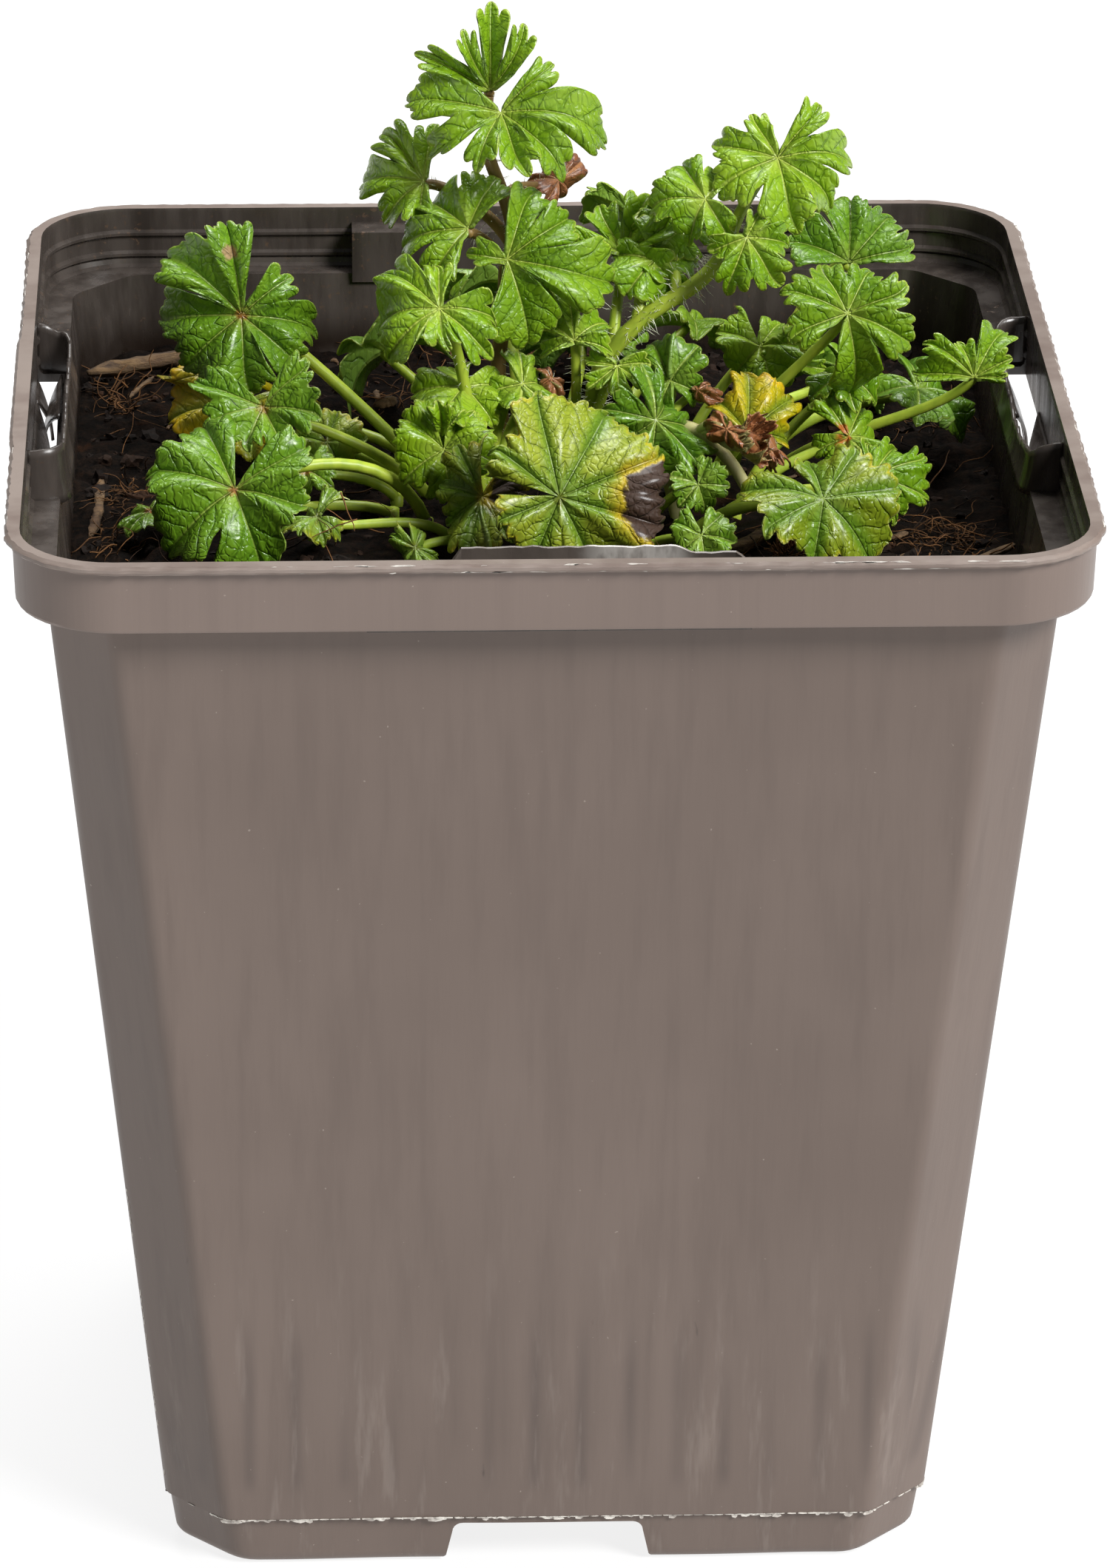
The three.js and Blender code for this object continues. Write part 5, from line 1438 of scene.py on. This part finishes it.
def round_lump():
    """The points and faces of a small ball, as a start for crumbs."""
    g = (1 + math.sqrt(5)) / 2
    points = [(-1, g, 0), (1, g, 0), (-1, -g, 0), (1, -g, 0), (0, -1, g), (0, 1, g),
              (0, -1, -g), (0, 1, -g), (g, 0, -1), (g, 0, 1), (-g, 0, -1), (-g, 0, 1)]
    faces = [(0, 11, 5), (0, 5, 1), (0, 1, 7), (0, 7, 10), (0, 10, 11), (1, 5, 9), (5, 11, 4),
             (11, 10, 2), (10, 7, 6), (7, 1, 8), (3, 9, 4), (3, 4, 2), (3, 2, 6), (3, 6, 8),
             (3, 8, 9), (4, 9, 5), (2, 4, 11), (6, 2, 10), (8, 6, 7), (9, 8, 1)]
    points = [unit(p) for p in points]
    split, fine = {}, []
    for face in faces:
        mids = []
        for a, b in zip(face, face[1:] + face[:1]):
            key = (min(a, b), max(a, b))
            if key not in split:
                split[key] = len(points)
                points.append(unit(points[a] + points[b]))
            mids.append(split[key])
        ends = [(face[k], mids[k], mids[k - 1]) for k in range(3)]
        fine += [*ends, mids]
    return np.array(points), fine


def build_crumbs():
    pile = Pile()
    ball, faces = round_lump()
    for _ in range(CRUMBS):
        x, y = on_compost(1.0)
        wide = rng.choice([0.28, 0.5, 0.8, 1.3], p=[0.35, 0.37, 0.22, 0.06])
        turn = np.linalg.qr(rng.normal(size=(3, 3)))[0]
        stretch = wide * rng.uniform(0.6, 1.3, 3) * [1, 1, 0.8]
        bumps = 1 + 0.25 * np.sin(ball @ rng.normal(size=3) * 3 + 1) + 0.17 * rng.normal(size=len(ball))
        points = (ball * bumps[:, None]) @ turn * stretch
        tone = rng.choice([0.15, 0.4, 0.9], p=[0.62, 0.3, 0.08])
        pile.add(points + [x, y, compost_height(x, y) + 0.35 + 0.4 * wide], faces, tone=tone)
    look = toned_material("compost_lumps", srgb(10, 7, 5), srgb(58, 37, 23))
    settle(pile.finish("compost_lumps", [look], smooth=False))


def fibre(pile, start, heading, rise, long, radius, tone, wander=0.5):
    """One thin bent root or fibre."""
    spot = np.array(start, float)
    way = unit([math.cos(heading), math.sin(heading), rise])
    path = [spot]
    for _ in range(FIBRE_STEPS):
        way = unit(way + rng.normal(size=3) * wander * [0.5, 0.5, 0.35] - [0, 0, 0.12 * wander])
        spot = spot + way * long / FIBRE_STEPS
        path.append(spot)
    limit = COMPOST_HALF - 0.4
    path = np.clip(smooth_path(path, 2), [-limit, -limit, 0], [limit, limit, 200])
    pile.add(*tube_form(path, np.linspace(radius, radius / 2, len(path)), 4), tone=tone)


def build_fibres():
    pile = Pile()
    for _ in range(FIBRES):
        x, y = on_compost(3.0)
        start = [x, y, compost_height(x, y) + rng.uniform(0.2, 0.9)]
        fibre(pile, start, any_way(), rng.uniform(-0.05, 0.4), rng.uniform(2.5, 9),
              rng.choice([0.05, 0.09, 0.15], p=[0.5, 0.37, 0.13]),
              rng.choice([0.05, 0.3, 0.7, 1.0], p=[0.35, 0.35, 0.2, 0.1]))
    for x, y, spread, count, long, tone in TANGLES:
        for _ in range(count):
            sx, sy = np.clip([x, y] + spread * 0.6 * rng.normal(size=2), -46, 46)
            start = [sx, sy, compost_height(sx, sy) + rng.uniform(0.2, 1.6)]
            fibre(pile, start, any_way(), rng.uniform(-0.1, 0.6), long * rng.uniform(0.5, 1.3),
                  rng.uniform(0.05, 0.11), np.clip(tone + 0.3 * rng.normal(), 0, 1), 0.9)
    # the dried tuft by the front rim
    for _ in range(TUFT_FIBRES):
        start = [25 + rng.normal() * 0.5, -16.6 + rng.normal() * 0.4, 105.2]
        fibre(pile, start, any_way(), rng.uniform(0.6, 2.6), rng.uniform(1.8, 3.6), 0.1,
              rng.uniform(0.55, 1.0), 0.3)
    for single in SINGLE_FIBRES:
        fibre(pile, *single)
    look = toned_material("compost_fibres", srgb(28, 19, 12), srgb(128, 89, 54))
    settle(pile.finish("compost_fibres", [look]))


def splinter(pile, start, end, wide, tall, seed):
    """A flat split piece of wood with ragged ends."""
    start, end = np.array(start, float), np.array(end, float)
    along = unit(end - start)
    side = unit(np.cross(along, [0, 0, 1.0]))
    up = np.cross(side, along)
    points = []
    for t in np.arange(SPLINTER_STEPS + 1) / SPLINTER_STEPS:
        taper = min(1.0, 0.35 + 4 * t, 0.3 + 5 * (1 - t))
        middle = start + (end - start) * t
        middle += side * 0.25 * math.sin(4 * t + seed) + up * 0.2 * math.sin(3 * t + seed)
        for angle in 2 * math.pi * np.arange(SPLINTER_SIDES) / SPLINTER_SIDES:
            rough = 1 + 0.16 * math.sin(5 * angle + seed + 2 * t) + 0.1 * rng.normal()
            reach = side * math.cos(angle) * wide / 2 + up * math.sin(angle) * tall / 2
            points.append(middle + taper * rough * reach)
    pile.add(points, ring_faces(SPLINTER_SIDES, SPLINTER_STEPS + 1))


def build_wood():
    pile = Pile()
    for number, piece in enumerate(WOOD):
        splinter(pile, *piece, number + 1)
    for number in range(SMALL_WOOD):
        x, y = on_compost(4.0)
        turn = any_way()
        long = rng.uniform(0.8, 3.2)
        z = compost_height(x, y) + 0.9
        end = [x + long * math.cos(turn), y + long * math.sin(turn), z + rng.uniform(-0.4, 0.5)]
        splinter(pile, [x, y, z], end, rng.uniform(0.4, 1.0), rng.uniform(0.2, 0.5), number)
    settle(pile.finish("compost_wood", [bark_material()]))


compost_look = compost_material()
build_compost_top(compost_look)
build_crumbs()
build_fibres()
build_wood()
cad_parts["compost"].data.materials.clear()
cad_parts["compost"].data.materials.append(compost_look)


# Floor, light and camera

FLOOR_HALF = 3000
FLOOR_LEVEL = -0.05
CAMERA_PLACE = (-28.37, -725.37, 387.19)
CAMERA_TURN = 2.389
CAMERA_DOWN = 23.41
CAMERA_ROLL = 0.4
CAMERA_LENS = 169.3
WHITE = (1, 1, 1, 1)

scene = bpy.context.scene


def build_floor():
    look = Nodes("floor_pale").put(Base_Color=(0.16, 0.16, 0.16, 1), Roughness=0.8, Emission_Color=WHITE,
                                   Emission_Strength=0.84)
    far = FLOOR_HALF
    corners = [(x, y, FLOOR_LEVEL) for x, y in ((-far, -far), (far, -far), (far, far), (-far, far))]
    floor = make_object("floor", corners, [[0, 1, 2, 3]], [look], smooth=False)


def sun_light(name, toward, strength, spread):
    """A soft light from far away, from the side that the direction points to."""
    lamp = bpy.data.lights.new(name, "SUN")
    lamp.energy = strength
    lamp.angle = math.radians(spread)
    obj = bpy.data.objects.new(name, lamp)
    obj.rotation_euler = (-Vector(toward)).to_track_quat("-Z", "Y").to_euler()
    scene.collection.objects.link(obj)


def build_camera():
    data = bpy.data.cameras.new("camera")
    data.lens = CAMERA_LENS
    data.sensor_width = 36
    data.clip_start = 0.01
    data.clip_end = 20
    obj = bpy.data.objects.new("camera", data)
    turn, down, roll = [math.radians(a) for a in (CAMERA_TURN, CAMERA_DOWN, CAMERA_ROLL)]
    forward = Vector((math.sin(turn) * math.cos(down), math.cos(turn) * math.cos(down), -math.sin(down)))
    right = Vector((math.cos(turn), -math.sin(turn), 0))
    up = right.cross(forward)
    tilted_right = right * math.cos(roll) + up * math.sin(roll)
    tilted_up = up * math.cos(roll) - right * math.sin(roll)
    rotation = Matrix((tilted_right, tilted_up, -forward)).transposed().to_4x4()
    obj.matrix_world = Matrix.Translation(Vector(CAMERA_PLACE) * MM) @ rotation
    scene.collection.objects.link(obj)
    scene.camera = obj


build_floor()
sun_light("key_soft", (0.58, -0.5, 0.66), 4.0, 22)
sun_light("top_soft", (0.05, 0.42, 0.9), 2.6, 36)
scene.world = bpy.data.worlds.new("studio")
scene.world.use_nodes = True
background = scene.world.node_tree.nodes["Background"]
background.inputs["Color"].default_value = WHITE
background.inputs["Strength"].default_value = 0.1
build_camera()
scene.view_settings.view_transform = "Standard"
